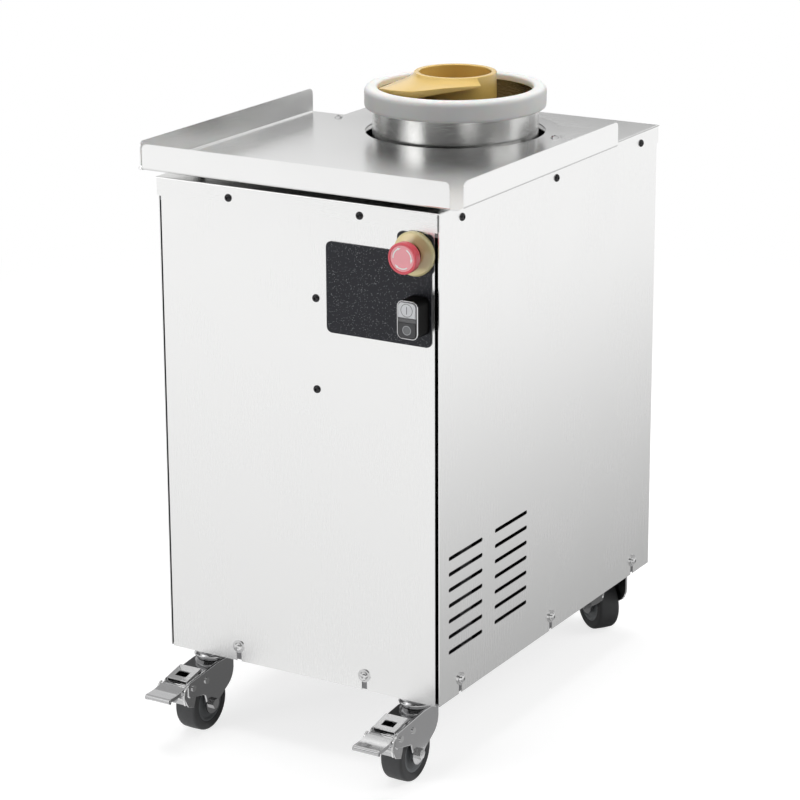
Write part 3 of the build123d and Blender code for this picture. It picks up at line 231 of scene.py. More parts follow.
nodeFinish = {
    "panelSteel": ("front_panel", "rear_panel", "left_panel", "right_panel"),
    "coverSteel": ("top_cover",),
    "traySteel": ("tray", "tray_walls"),
    "drumSteel": ("drum", "drum_screws"),
    "shadedInnerSteel": ("base_pan", "cabinet_frame", "deck_plate", "deck_bolts", "center_post", "spindle",
                   "spindle_bearings", "drive_shaft", "drive_pulley", "driven_pulley", "castor_nuts"),
    "boltSteel": ("panel_bolts", "tray_screws", "tray_spacers"),
    "chrome": ("switch_bezel",),
    "blackOxide": ("cover_screws", "box_screws"),
    "castPaint": ("bearing_housing", "gearbox", "motor", "control_box"),
    "goldCoat": ("auger", "auger_hub", "auger_flight"),
    "whiteRing": ("rim_ring",),
    "yellowDisc": ("estop_disc",),
    "redCap": ("estop_button",),
    "blackPlastic": ("estop_body", "estop_stem", "switch_body", "cable_gland"),
    "greyKey": ("start_button",),
    "darkKey": ("stop_button",),
    "lensBar": ("switch_lens",),
    "beltRubber": ("drive_belt",),
    "blackPlate": ("control_plate",),
}
# castor nodes by the start of their names
castorFinish = {"fork": "zincPlate", "brake_lever": "zincPlate", "castor_stems": "zincPlate", "axle": "boltSteel",
                "wheel": "tyreRubber"}


def coverNode(name, finishName):
    slots = nodes[name].data.materials
    slots.clear()
    slots.append(finish[finishName])


for finishName, names in nodeFinish.items():
    for name in names:
        coverNode(name, finishName)
for start, finishName in castorFinish.items():
    for name in nodes:
        if name.startswith(start):
            coverNode(name, finishName)
print("finishes set")


# shapes

weldGap = 2e-6
sheetEdge = {"width": 0.5, "segments": 2, "angle": 50, "sharp": 60}
cornerShare = 0.48  # most of a side that one eased corner takes


def gridFaces(rows, cols, loopRows=False, loopCols=False):
    # quads between neighbouring points of a rows x cols grid, wrapped round where it loops
    i, j = np.meshgrid(np.arange(rows - (not loopRows)), np.arange(cols - (not loopCols)), indexing="ij")
    down, along = (i + 1) % rows, (j + 1) % cols
    quads = np.stack([i * cols + j, down * cols + j, down * cols + along, i * cols + along], -1)
    return quads.reshape(-1, 4).tolist()


def addObject(name, data):
    obj = bpy.data.objects.new(name, data)
    bpy.context.scene.collection.objects.link(obj)
    return obj


def addPiece(name, surface, finishName, body, replaced=(), sharp=35, closed=True):
    # puts a surface (points in millimetres, faces) into a mesh, welds its seams and poles, hands it to its body
    points, faces = surface
    mesh = bpy.data.meshes.new(name)
    mesh.from_pydata((np.asarray(points).reshape(-1, 3) * mm).tolist(), [], faces)
    bm = bmesh.new()
    bm.from_mesh(mesh)
    bmesh.ops.remove_doubles(bm, verts=bm.verts, dist=weldGap)
    if closed:
        bmesh.ops.recalc_face_normals(bm, faces=bm.faces)
    bm.to_mesh(mesh)
    bm.free()
    mesh.polygons.foreach_set("use_smooth", np.ones(len(mesh.polygons), bool))
    mesh.set_sharp_from_angle(angle=math.radians(sharp))
    mesh.materials.append(finish[finishName])
    piece = addObject(name, mesh)
    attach(piece, body)
    if replaced:
        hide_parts(*replaced)
    return piece


def addSheet(name, surface, finishName, body, replaced, thick):
    # open surface given a thickness below it and soft edges
    piece = addPiece(name, surface, finishName, body, replaced, sheetEdge["sharp"], False)
    shell = piece.modifiers.new("thickness", "SOLIDIFY")
    shell.thickness = thick * mm
    shell.offset = -1
    soft = piece.modifiers.new("softEdges", "BEVEL")
    soft.width = sheetEdge["width"] * mm
    soft.segments = sheetEdge["segments"]
    soft.limit_method = "ANGLE"
    soft.angle_limit = math.radians(sheetEdge["angle"])
    soft.harden_normals = True


def joinGrids(grids):
    # several grids of quads as one list of points and faces
    points, faces = zip(*grids)
    firsts = np.cumsum([0] + [len(some) for some in points[:-1]])
    joined = [np.array(some) + first for some, first in zip(faces, firsts)]
    return np.concatenate(points), np.concatenate(joined).tolist()


def smooth(s):
    # eased step from 0 to 1
    return s ** 2 * (3 - 2 * s)


def rectLoop(inner, outer, low, high):
    # rectangle as a closed outline
    return np.array([(inner, low), (outer, low), (outer, high), (inner, high)], float)


def easedLoop(corners, radii, steps=7):
    # closed outline: every corner becomes a parabola between two points set back along its sides
    corners = np.asarray(corners, float)
    before = np.roll(corners, 1, 0) - corners
    after = np.roll(corners, -1, 0) - corners
    lengthB, lengthA = np.linalg.norm(before, axis=1), np.linalg.norm(after, axis=1)
    half = np.arccos(np.clip((before * after).sum(1) / (lengthB * lengthA), -1, 1)) / 2
    setBack = np.minimum(np.asarray(radii, float) / np.tan(half), cornerShare * np.minimum(lengthB, lengthA))
    start = corners + before * (setBack / lengthB)[:, None]
    stop = corners + after * (setBack / lengthA)[:, None]
    s = np.linspace(0, 1, steps)[None, :, None]
    curve = (1 - s) ** 2 * start[:, None] + 2 * s * (1 - s) * corners[:, None] + s ** 2 * stop[:, None]
    return curve.reshape(-1, 2)


def lathe(loop, origin, axis, segments):
    # a closed (radius, height) loop carried round the axis: origin + radius * (cos t, sin t) + height * axis
    axis = np.asarray(axis, float)
    side = np.cross(axis, (0.31, 0.52, 0.79))  # any direction that isn't the axis
    side /= np.linalg.norm(side)
    t = np.linspace(0, turn, segments, endpoint=False)[:, None, None]
    spoke = np.cos(t) * side + np.sin(t) * np.cross(axis, side)
    points = np.asarray(origin) + loop[None, :, :1] * spoke + loop[None, :, 1:] * axis
    return points, gridFaces(segments, len(loop), True, True)


def sweep(sections):
    # loops of points, one row for each step along a path, joined into a skin and capped at both ends
    rows, cols = sections.shape[:2]
    faces = gridFaces(rows, cols, False, True)
    faces += [list(range(cols)), list(range((rows - 1) * cols, rows * cols))]
    return sections, faces


def uprightAxis(jointName):
    # where an upright joint's axis meets the floor, in millimetres
    return np.array((*(v / mm for v in joints[jointName]["pos_m"][:2]), 0))


def nodeBox(name):
    # a node's lowest and highest corner, in millimetres
    return [np.array(corner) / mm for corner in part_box(name)]


def faceMiddle(name, side):
    # middle of a node's front (0) or back (1) face, in millimetres
    box = nodeBox(name)
    middle = (box[0] + box[1]) / 2
    return np.array((middle[0], box[side][1], middle[2]))


# bowl

bowlAxis = uprightAxis("bowl_spin")
ringShape = {"inner": 109.5, "outer": 128, "drumOut": 117, "low": 820, "rim": 840, "top": 850, "drumRound": 0.4,
             "lipRound": 5, "outerRound": 10, "innerRound": 8.2, "footRound": 1.5, "steps": 10, "segments": 220}


def makeRing():
    # rounded ring: an outline that sits on the drum's edge and hangs down outside it, with a soft roll above
    r = ringShape
    corners = [(r["drumOut"], r["low"]), (r["outer"], r["low"]), (r["outer"], r["top"]), (r["inner"], r["top"]),
               (r["inner"], r["rim"]), (r["drumOut"], r["rim"])]
    radii = [r[key] for key in ("drumRound", "lipRound", "outerRound", "innerRound", "footRound", "drumRound")]
    ring = lathe(easedLoop(corners, radii, r["steps"]), bowlAxis, upward, r["segments"])
    addPiece("rimRing", ring, "whiteRing", "bowl", ("rim_ring",), sharp=50)


flightShape = {"tipHeading": 331, "turns": 828, "height": 868, "rim": 869.5, "rimGap": 0.5, "drop": 244.4,
               "fallTurn": (0, 130, 180, 265, 335, 828), "fallRate": (0.02, 0.02, 0.6, 0.6, 0.29, 0.29),
               "slopeTurn": (20, 42, 70, 108, 140, 200, 320), "slope": (0.12, 0.145, 0.28, 0.30, 0.44, 0.44, 0.14),
               "tipSlope": 0.45, "tipEase": 12, "tube": 58, "root": 57, "tipReach": 68, "reach": 108, "spread": 118,
               "shoulder": 3.0, "filletRise": 5.3, "filletReach": 3.0, "rootDepth": 14, "edgeDepth": 10.5,
               "tipDepth": 2.8, "grow": 0.11, "round": 0.7, "floor": 611.4, "coneLow": 608, "coneTop": 770,
               "coneR": (94, 112), "clear": 2.6, "steps": 640, "topSteps": 26, "topCrowd": 1.6, "roundSteps": 6,
               "underSteps": 12}


def makeFlight():
    # helical flight: a radial section (fillet on the tube, sloping top, upright edge, underside) carried down
    # a helix whose fall for each degree is level at the tip, steep behind the tube and even below, with the
    # edge kept inside the drum's cone
    f = flightShape
    angle = np.linspace(0, f["turns"], f["steps"])
    rate = np.interp(angle, f["fallTurn"], f["fallRate"])
    fall = np.concatenate([[0], np.cumsum((rate[1:] + rate[:-1]) / 2 * np.diff(angle))])
    top = f["height"] - fall * f["drop"] / fall[-1]
    reach = f["tipReach"] + (f["reach"] - f["tipReach"]) * np.minimum(angle / f["spread"], 1)
    cone = np.interp(top - f["rootDepth"], (f["coneLow"], f["coneTop"]), f["coneR"])
    edge = np.minimum(reach, cone - f["clear"])[:, None]
    depth = np.minimum(f["tipDepth"] + f["grow"] * angle, f["edgeDepth"])[:, None]
    slope = (np.interp(angle, f["slopeTurn"], f["slope"]) + f["tipSlope"] * np.exp(-angle / f["tipEase"]))[:, None]
    top = top[:, None]

    def crest(r):
        rise = f["filletRise"] * np.exp(-np.maximum(r - f["tube"], 0) / f["filletReach"])
        return np.minimum(top - f["shoulder"] + rise - slope * (r - f["tube"]), f["rim"] - f["rimGap"])

    corner = edge - f["round"]  # where the rounded edge starts
    u = np.linspace(0, 1, f["topSteps"])[None] ** f["topCrowd"]
    topR = f["root"] + (corner - f["root"]) * u
    s = np.linspace(0, 1, f["roundSteps"])[None]
    upperR = np.minimum((1 - s ** 2) * corner + s ** 2 * edge + 2 * s * (1 - s) * f["round"], edge)
    edgeZ = crest(edge)
    upperZ = (1 - s) ** 2 * crest(corner) + 2 * s * (1 - s) * edgeZ + s ** 2 * (edgeZ - f["round"])
    lowZ = edgeZ - np.maximum(depth, 2 * f["round"])
    lowerR = edge - s ** 2 * f["round"]
    lowerZ = lowZ + (1 - s) ** 2 * f["round"]
    v = np.linspace(0, 1, f["underSteps"])[None]
    underR = corner + (f["root"] - corner) * v
    underZ = lowZ + (top - f["rootDepth"] - lowZ) * v
    radius = np.concatenate([topR, upperR, lowerR, underR], 1)
    height = np.maximum(np.concatenate([crest(topR), upperZ, lowerZ, underZ], 1), f["floor"])
    heading = np.radians(f["tipHeading"] - angle)[:, None]
    sections = np.stack([radius * np.cos(heading), radius * np.sin(heading), height], -1) + bowlAxis
    addPiece("augerFlight", sweep(sections), "goldCoat", "feed_auger", ("auger_flight",), sharp=40)


shadeSheetShape = {"low": 609.5, "lowR": 94.1, "bend": 770, "wallR": 111.95, "high": 839.6, "thick": 0.4, "segments": 160}


def makeShadeSheet():
    # thin dark sheet on the drum's inner wall, a painted shade and painted reflection of the deep drum: a closed
    # outline just inside the cone and the cylinder above it
    c = shadeSheetShape
    wall = np.array([(c["lowR"], c["low"]), (c["wallR"], c["bend"]), (c["wallR"], c["high"])])
    loop = np.concatenate([wall, wall[::-1] - (c["thick"], 0)])
    addPiece("drumShadeSheet", lathe(loop, bowlAxis, upward, c["segments"]), "drumPaintedShade", "bowl")


makeRing()
makeFlight()
makeShadeSheet()
print("bowl shaped")


# controls

discShape = {"bore": 14.55, "radius": 29.2, "edge": 4.2, "shoulder": 27.0, "rise": 7.0, "neck": 16.5, "top": 10.4,
             "ease": (0.2, 0.4, 1.6, 3.0, 1.0, 0.3), "segments": 160}


def makeStopDisc():
    # thick yellow disc: upright edge, rounded shoulder, then a shallow cone up to the black collar
    d = discShape
    corners = [(d["bore"], 0), (d["radius"], 0), (d["radius"], d["edge"]), (d["shoulder"], d["rise"]),
               (d["neck"], d["top"]), (d["bore"], d["top"])]
    disc = lathe(easedLoop(corners, d["ease"]), faceMiddle("estop_disc", 1), forward, d["segments"])
    addPiece("stopDisc", disc, "yellowDisc", "cabinet", ("estop_disc",), sharp=50)


stopShape = {"radius": 20.5, "skirt": 17.5, "height": 16, "sideLow": 0.36, "dish": 15.2, "dishR": 17.0, "ridgeR": 18.0,
             "bore": 8.05, "boreTop": 8, "ease": (0, 0.8, 0.8, 1.9, 1.6, 1.2, 0.4, 0.4, 0), "segments": 144,
             "sink": 0.1, "faceR": 16.8, "faceRise": 0.15, "faceSegments": 120}
arrowShape = {"count": 3, "radius": 13.2, "start": 140, "span": 84, "half": 0.8, "headFrom": 0.72, "headFull": 0.721,
              "headHalf": 1.9, "tipHalf": 0.03, "rise": 0.35, "steps": 40}


def makeStopCap():
    # mushroom: shallow dished face inside a rolled rim, straight side, tapered skirt, bore for its stem
    c = stopShape
    corners = [(0, c["dish"]), (c["dishR"], c["dish"]), (c["ridgeR"], c["height"]), (c["radius"], c["height"]),
               (c["radius"], c["height"] * c["sideLow"]), (c["skirt"], 0), (c["bore"], 0),
               (c["bore"], c["boreTop"]), (0, c["boreTop"])]
    origin = faceMiddle("estop_button", 1)
    low = c["dish"] - c["sink"]
    cap = lathe(easedLoop(corners, c["ease"]), origin, forward, c["segments"])
    addPiece("stopCap", cap, "redCap", "estop_head", ("estop_button",), sharp=50)
    # the pale pink disc laid on the dished face is a painted highlight on the cap's red front
    face = rectLoop(0, c["faceR"], low, c["dish"] + c["faceRise"])
    addPiece("stopFaceHighlight", lathe(face, origin, forward, c["faceSegments"]), "redFaceHighlight", "estop_head")
    # arrows: an arc band with a wide head that narrows to a point
    b = arrowShape
    s = np.linspace(0, 1, b["steps"])
    half = np.interp(s, (b["headFrom"], b["headFull"], 1), (b["half"], b["headHalf"], b["tipHalf"]))
    inner, outer, high = b["radius"] - half, b["radius"] + half, c["dish"] + b["rise"]
    for k in range(b["count"]):
        a = np.radians(b["start"] + 360 / b["count"] * k - b["span"] * (s - 0.5))
        loops = [np.stack([origin[0] + r * np.cos(a), np.full_like(a, origin[1] - h), origin[2] + r * np.sin(a)], -1)
                 for r, h in ((inner, low), (inner, high), (outer, high), (outer, low))]
        addPiece(f"stopArrow{k + 1}", sweep(np.stack(loops, 1)), "whitePrint", "estop_head")


frameShape = {"width": 1.2, "rise": 1.6, "corner": 7.4, "steps": 16, "ease": (0.1, 0.1, 0.5, 0.5), "beadSteps": 5}


def makeSwitchFrame():
    # thin bright frame: a rounded bead carried round a rectangle with quarter-circle corners
    b = frameShape
    low, high = nodeBox("switch_bezel")
    half = (high - low) / 2 - b["width"] / 2
    middle = (low + high) / 2
    t = np.linspace(0, turn / 4, b["steps"])[None] + turn / 4 * np.arange(4)[:, None]
    signs = np.array([(1, 1), (-1, 1), (-1, -1), (1, -1)])
    out = np.stack([np.cos(t), np.sin(t)], -1).reshape(-1, 2)
    path = np.repeat(signs * (half[[0, 2]] - b["corner"]), b["steps"], 0) + out * b["corner"]
    bead = easedLoop(rectLoop(-b["width"] / 2, b["width"] / 2, 0, b["rise"]), b["ease"], b["beadSteps"])
    points = np.empty((len(path), len(bead), 3))
    points[..., 0] = middle[0] + path[:, None, 0] + out[:, None, 0] * bead[None, :, 0]
    points[..., 1] = high[1] - bead[None, :, 1]
    points[..., 2] = middle[2] + path[:, None, 1] + out[:, None, 1] * bead[None, :, 0]
    surface = points, gridFaces(len(path), len(bead), True, True)
    addPiece("switchFrame", surface, "chrome", "cabinet", ("switch_bezel",), sharp=50)


# rings as (inner, outer, rise)
markShape = {"startRing": (8.0, 8.6, 0.12), "stopRing": (5.0, 6.2, 0.14), "stopSpot": (0, 4.4, 0.1), "sink": 0.1,
             "segments": 72, "barHalf": (0.45, 5), "barRise": 0.12, "barEase": 0.3, "barSteps": 4}


def ringMark(name, face):
    # flat ring turned about the middle of a key
    inner, outer, rise = markShape[name]
    return lathe(rectLoop(inner, outer, -markShape["sink"], rise), face, forward, markShape["segments"])


def barMark(face):
    # rounded rectangle carried straight out of the key
    wide, tall = markShape["barHalf"]
    bar = easedLoop(rectLoop(-wide, wide, -tall, tall), markShape["barEase"], markShape["barSteps"])
    depth = np.array((markShape["sink"], -markShape["barRise"]))[:, None]
    return sweep(np.stack(np.broadcast_arrays(face[0] + bar[:, 0], face[1] + depth, face[2] + bar[:, 1]), -1))


def makeKeyMarks():
    # generic I in a ring on the upper key, a filled O on the lower one, both raised a little
    start, stop = faceMiddle("start_button", 0), faceMiddle("stop_button", 0)
    addPiece("startRing", ringMark("startRing", start), "markGrey", "start_key")
    addPiece("startBar", barMark(start), "markGrey", "start_key")
    addPiece("stopRing", ringMark("stopRing", stop), "markPale", "stop_key")
    addPiece("stopSpot", ringMark("stopSpot", stop), "markMid", "stop_key")


makeStopDisc()
makeStopCap()
makeSwitchFrame()
makeKeyMarks()
print("controls shaped")


# castors

# outlines as (radius, place along the axle)
wheelShape = {"tyre": [(27, -15.6), (29.5, -16), (39.5, -16), (40, 0), (39.5, 16), (29.5, 16), (27, 15.6)],
              "tyreEase": [0.5, 0.8, 9, 30, 9, 0.8, 0.5], "tyreSteps": 9, "tyreSegments": 128,
              "hub": [(4.05, -17.7), (11, -17.7), (11, -12.4), (22.5, -12), (24.5, -14.8), (27, -15.2),
                      (27, 15.2), (24.5, 14.8), (22.5, 12), (11, 12.4), (11, 17.7), (4.05, 17.7)],
              "hubEase": [0.3, 0.8, 0.6, 1.0, 0.8, 0.4, 0.4, 0.8, 1.0, 0.6, 0.8, 0.3], "hubSteps": 5,
              "hubSegments": 96}


def makeWheels():
    # tyre with rolled shoulders on a hub with dished sides, both turned about the axle
    for place in castorNames:
        roll = joints["wheel_roll_" + place]
        origin = np.array(roll["pos_m"]) / mm
        for part, finishName in (("tyre", "tyreRubber"), ("hub", "hubGrey")):
            loop = easedLoop(wheelShape[part], wheelShape[part + "Ease"], wheelShape[part + "Steps"])
            surface = lathe(loop, origin, roll["axis"], wheelShape[part + "Segments"])
            addPiece(f"{part}_{place}", surface, finishName, "roller_" + place, ("wheel_" + place,))


# places as (y, z) from the castor's stem; the window as (half width, front, back)
leverShape = {"half": 17, "pedalHalf": 20, "thick": 2.0, "back": (-50, 98), "bend": (-83, 91), "step": (-89.5, 85.5),
              "stepFront": -92.2, "front": (-126.8, 81.4), "sag": 1.6, "lip": 3.8, "lipTurn": 215, "edgeDrop": 5.2,
              "flareFrom": -86, "flareRun": 4, "window": (9, -75, -63), "windowSteps": 7, "plateSteps": 5,
              "bendSteps": 4, "dropSteps": 10, "pedalSteps": 16, "lipSteps": 16,
              "skirtFront": [(-101, 82.2), (-92, 67), (-84, 53.6), (-71, 48.5)],
              "skirtBack": [(-59, 93.5), (-59, 84), (-60.5, 75), (-65, 63.3)], "skirtRows": 10, "skirtCols": 8,
              "wheel": (-28, 40), "shoeR": 43, "shoeAngle": 21.7, "shoeHalf": 8, "shoeThick": 3, "shoeInset": 2,
              "shoeSteps": 6, "clip": [(-88, 86.6), (-98, 86), (-102, 76), (-97, 61)], "clipIn": 20.3, "clipOut": 23.2,
              "clipThick": 1.6, "clipSteps": 18, "bars": (78.5, 69.5), "barIn": 10.5, "barHalf": 1.7, "barY": -97.5}


def leverTop(c):
    # stamped sheet: sloping plate with a window, open step, dished pedal, rolled front lip, edges turned down;
    # the path in (y, z) is carried across the width, which grows from the plate to the pedal
    side, frontCut, backCut = c["window"]
    (backY, backZ), (bendY, bendZ), (stepY, stepZ), (frontY, frontZ) = (c[k] for k in ("back", "bend", "step", "front"))
    plateY = np.concatenate([np.linspace(backY, backCut, c["plateSteps"]),
                             np.linspace(backCut, frontCut, c["plateSteps"])[1:],
                             np.linspace(frontCut, bendY, c["bendSteps"])[1:]])
    plateZ = np.interp(-plateY, (-backY, -bendY), (backZ, bendZ))
    u = np.linspace(0, 1, c["dropSteps"])[1:]
    v = np.linspace(0, 1, c["pedalSteps"])[1:]
    t = np.linspace(0, math.radians(c["lipTurn"]), c["lipSteps"])[1:]
    pedalZ = stepZ + (frontZ - stepZ) * v - c["sag"] * np.sin(np.pi * v)
    y = np.concatenate([plateY, bendY + (stepY - bendY) * u, stepY + (frontY - stepY) * v,
                        frontY - c["lip"] * np.sin(t)])
    z = np.concatenate([plateZ, bendZ + (stepZ - bendZ) * smooth(u), pedalZ, frontZ + c["lip"] * (np.cos(t) - 1)])
    flare = smooth(np.clip((c["flareFrom"] - y) / c["flareRun"], 0, 1))
    half = c["half"] + (c["pedalHalf"] - c["half"]) * flare
    cut = side / c["half"]
    across = np.concatenate([[-1], np.linspace(-1, -cut, c["plateSteps"]), np.linspace(-cut, cut, c["windowSteps"])[1:],
                             np.linspace(cut, 1, c["plateSteps"])[1:], [1]])
    drop = np.zeros(len(across))
    drop[[0, -1]] = c["edgeDrop"]
    points = np.stack([half[:, None] * across, np.repeat(y[:, None], len(across), 1), z[:, None] - drop], -1)
    # no faces in the window, the step and the ends of the lip
    rows, cols = len(y) - 1, len(across) - 1
    midY = np.repeat((y[1:] + y[:-1]) / 2, cols)
    midX = np.tile((across[1:] + across[:-1]) / 2, rows)
    inWindow = (midY > frontCut) & (midY < backCut) & (np.abs(midX) < cut)
    inStep = (midY > c["stepFront"]) & (midY < bendY)
    inLip = (np.abs(midX) == 1) & np.repeat(np.arange(rows) >= rows - len(t), cols)
    faces = np.array(gridFaces(len(y), len(across)))[~(inWindow | inStep | inLip)]
    return points.reshape(-1, 3), faces.tolist()


def leverSides(c):
    # two upright flanges that carry plate and pedal, ruled between a front and a back line
    u = np.linspace(0, 1, c["skirtRows"])
    knots = np.linspace(0, 1, len(c["skirtFront"]))
    front, back = (np.stack([np.interp(u, knots, line) for line in np.array(c[key]).T], -1)
                   for key in ("skirtFront", "skirtBack"))
    v = np.linspace(0, 1, c["skirtCols"])[None, :, None]
    flat = front[:, None] * (1 - v) + back[:, None] * v
    grids = []
    for x, rows in ((-c["half"], flat), (c["half"], flat[:, ::-1])):
        points = np.concatenate([np.full((*rows.shape[:2], 1), float(x)), rows], -1)
        grids.append((points.reshape(-1, 3), gridFaces(*rows.shape[:2])))
    return joinGrids(grids)


def leverShoe(c):
    # flat block square to the tyre, across the whole width
    a, count = math.radians(c["shoeAngle"]), c["shoeSteps"]
    out, along = np.array((-math.cos(a), math.sin(a))), np.array((math.sin(a), math.cos(a)))
    middle = np.array(c["wheel"]) + (c["shoeR"] + c["shoeThick"]) * out
    across = np.linspace(-c["half"] + c["shoeInset"], c["half"] - c["shoeInset"], count)
    line = middle + np.linspace(c["shoeHalf"], -c["shoeHalf"], count)[:, None] * along
    points = np.stack(np.broadcast_arrays(across, line[:, :1], line[:, 1:]), -1)
    return points.reshape(-1, 3), gridFaces(count, count)


def leverClip(c):
    # bright strip on each end: a cubic Bezier path in (y, z), with two short bars behind it
    s = np.linspace(0, 1, c["clipSteps"])[:, None]
    a, b, d, e = (np.array(knot, float) for knot in c["clip"])
    path = (1 - s) ** 3 * a + 3 * s * (1 - s) ** 2 * b + 3 * s ** 2 * (1 - s) * d + s ** 3 * e
    rise = np.array((-c["barHalf"], c["barHalf"]))
    grids = []
    for sign in (-1, 1):
        x = np.sort(sign * np.array((c["clipIn"], c["clipOut"])))
        points = np.stack(np.broadcast_arrays(x, path[:, :1], path[:, 1:]), -1)
        grids.append((points.reshape(-1, 3), gridFaces(len(path), 2)))
        x = np.sort(sign * np.array((c["barIn"], c["clipOut"])))[:, None]
        for z in c["bars"]:
            points = np.stack(np.broadcast_arrays(x, c["barY"], z + rise), -1)
            grids.append((points.reshape(-1, 3), gridFaces(2, 2)))
    return joinGrids(grids)


leverParts = (("leverTop_", leverTop, "zincPlate", "thick"), ("leverSides_", leverSides, "zincPlate", "thick"),
              ("leverShoe_", leverShoe, "zincPlate", "shoeThick"), ("leverClip_", leverClip, "boltSteel", "clipThick"))


def makeLevers():
    # each part is worked out round the castor's stem and then moved to it
    for place in castorNames[:2]:
        stem = uprightAxis("swivel_turn_" + place)
        for part, make, finishName, thick in leverParts:
            points, faces = make(leverShape)
            addSheet(part + place, (points + stem, faces), finishName, "brake_" + place,
                     ("brake_lever_" + place,), leverShape[thick])


makeWheels()
makeLevers()
print("castors shaped")


# studio, in metres

studio = {"floorTone": 0.45, "floorGlow": 0.76, "whiteFrom": 1.3, "whiteTo": 2.6, "fill": 0.28, "floorSize": 30.0}
lamps = {"topLamp": {"place": (-0.35, 0.1, 3.1), "aim": (0, 0.05, 0.5), "size": (2.2, 2.2), "power": 58},
         "keyLamp": {"place": (2.3, 1.3, 2.0), "aim": (0, 0, 0.5), "size": (1.6, 1.6), "power": 24},
         "frontLamp": {"place": (-1.2, -2.3, 0.35), "aim": (0.15, -0.28, 0.6), "size": (1.0, 0.7), "power": 28}}
# sheets for reflections: the tone runs along an axis between the two ends of the span
flagBase = {"reach": 1.7, "axis": 0, "span": (-1, 1)}
flags = {"frontFlag": {"heading": 296, "reach": 1.6, "width": 4.3, "low": 0.62, "high": 1.7, "tone": (0.06, 0.06)},
         "leftFlag": {"heading": 190, "reach": 1.6, "width": 1.85, "low": 0.62, "high": 1.7, "tone": (0.08, 0.08)},
         "backFlag": {"heading": 124, "width": 2.4, "low": 0.5, "high": 1.22, "span": (-1.35, -0.65),
                      "tone": (0.85, 0.18)},
         "sideFlag": {"heading": 59, "width": 1.5, "low": 0.8, "high": 1.4, "tone": (0.22, 0.22)},
         "glintFlag": {"heading": 244, "reach": 1.74, "width": 0.7, "low": 0.98, "high": 1.4, "tone": (2.2, 2.2)}}
cardBase = {"height": 0.003, "axis": 0}
# the cards on the floor are darker near the machine: painted floor shadow that the panels and castors reflect, darkest
# in the card under the cabinet
cards = {"sideCard": {"low": (0.23, -0.5), "high": (1.6, 3.0), "span": (0.32, 1.3), "tone": (0.44, 1.0)},
         "frontCard": {"low": (-2.6, -3.0), "high": (0.22, -0.42), "axis": 1, "span": (-0.6, -2.4),
                       "tone": (0.84, 1.0)},
         "underCard": {"low": (-0.21, -0.27), "high": (0.21, 0.35), "span": (-0.2, 0.2), "tone": (0.16, 0.2)},
         "leftCard": {"low": (-2.2, -0.41), "high": (-0.23, 2.4), "span": (-0.32, -1.6), "tone": (0.46, 0.92)},
         "rearCard": {"low": (-0.22, 0.37), "high": (0.22, 2.4), "axis": 1, "span": (0.45, 1.8), "tone": (0.46, 0.92)},
         "topCard": {"low": (-4.0, -4.0), "high": (4.0, 4.0), "height": 3.6, "axis": 1, "span": (-2.6, 2.6),
                     "tone": (0.92, 0.52)}}
# solved from the cabinet's edges: angles in degrees, focal length and centre in pixels, sensor in millimetres
shot = {"place": (1.90649, -3.19306, 1.58592), "azimuth": 31.33, "elevation": 15.87, "roll": -0.4,
        "focal": 2782.06, "centre": (380.0, 330.0), "frame": 800.0, "sensor": 36, "farthest": 100}


def backdropRays(tree):
    # 1 for camera, glossy and transmission rays before any diffuse bounce, 0 for the rest
    rays = tree.nodes.new("ShaderNodeLightPath")
    seen = mathNode(tree, "MAXIMUM", rays.outputs["Is Camera Ray"], rays.outputs["Is Glossy Ray"])
    seen = mathNode(tree, "MAXIMUM", seen, rays.outputs["Is Transmission Ray"])
    direct = mathNode(tree, "LESS_THAN", rays.outputs["Diffuse Depth"], 0.5)
    return mathNode(tree, "MULTIPLY", seen, direct)


def placeMatrix(right, up, back, place):
    # object matrix from three unit axes and a place
    matrix = np.eye(4)
    matrix[:3] = np.stack([right, up, back, place], 1)
    return Matrix(matrix.tolist())


def emptyMaterial(name):
    mat, tree = newMaterial(name)
    tree.nodes.clear()
    return mat, tree, tree.nodes.new("ShaderNodeOutputMaterial").inputs["Surface"]


def rampMaterial(name, look):
    # glow whose tone ramps along one Object axis
    mat, tree, surface = emptyMaterial(name)
    glow = tree.nodes.new("ShaderNodeEmission")
    tree.links.new(glow.outputs["Emission"], surface)
    coords = tree.nodes.new("ShaderNodeTexCoord")
    split = tree.nodes.new("ShaderNodeSeparateXYZ")
    tree.links.new(coords.outputs["Object"], split.inputs["Vector"])
    tone = spread(tree, split.outputs[look["axis"]], *look["tone"], *look["span"])
    tree.links.new(tone, glow.inputs["Strength"])
    return mat


def paperMaterial():
    # pale paper that keeps the shadow, with a glow for the backdrop's rays
    mat, tree, surface = emptyMaterial("floorPaper")
    paper = tree.nodes.new("ShaderNodeBsdfDiffuse")
    setSockets(paper, {"Color": (studio["floorTone"],) * 3 + (1,)})
    glow = tree.nodes.new("ShaderNodeEmission")
    seen = backdropRays(tree)
    tree.links.new(mathNode(tree, "MULTIPLY", seen, studio["floorGlow"]), glow.inputs["Strength"])
    both = tree.nodes.new("ShaderNodeAddShader")
    tree.links.new(paper.outputs["BSDF"], both.inputs[0])
    tree.links.new(glow.outputs["Emission"], both.inputs[1])
    # away from the object the paper fades to plain white for the same rays
    coords = tree.nodes.new("ShaderNodeTexCoord")
    away = tree.nodes.new("ShaderNodeVectorMath")
    away.operation = "LENGTH"
    tree.links.new(coords.outputs["Object"], away.inputs[0])
    faded = spread(tree, away.outputs["Value"], 0.0, 1.0, studio["whiteFrom"], studio["whiteTo"])
    white = tree.nodes.new("ShaderNodeEmission")
    mixed = tree.nodes.new("ShaderNodeMixShader")
    tree.links.new(mathNode(tree, "MULTIPLY", faded, seen), mixed.inputs[0])
    tree.links.new(both.outputs["Shader"], mixed.inputs[1])
    tree.links.new(white.outputs["Emission"], mixed.inputs[2])
    tree.links.new(mixed.outputs["Shader"], surface)
    return mat


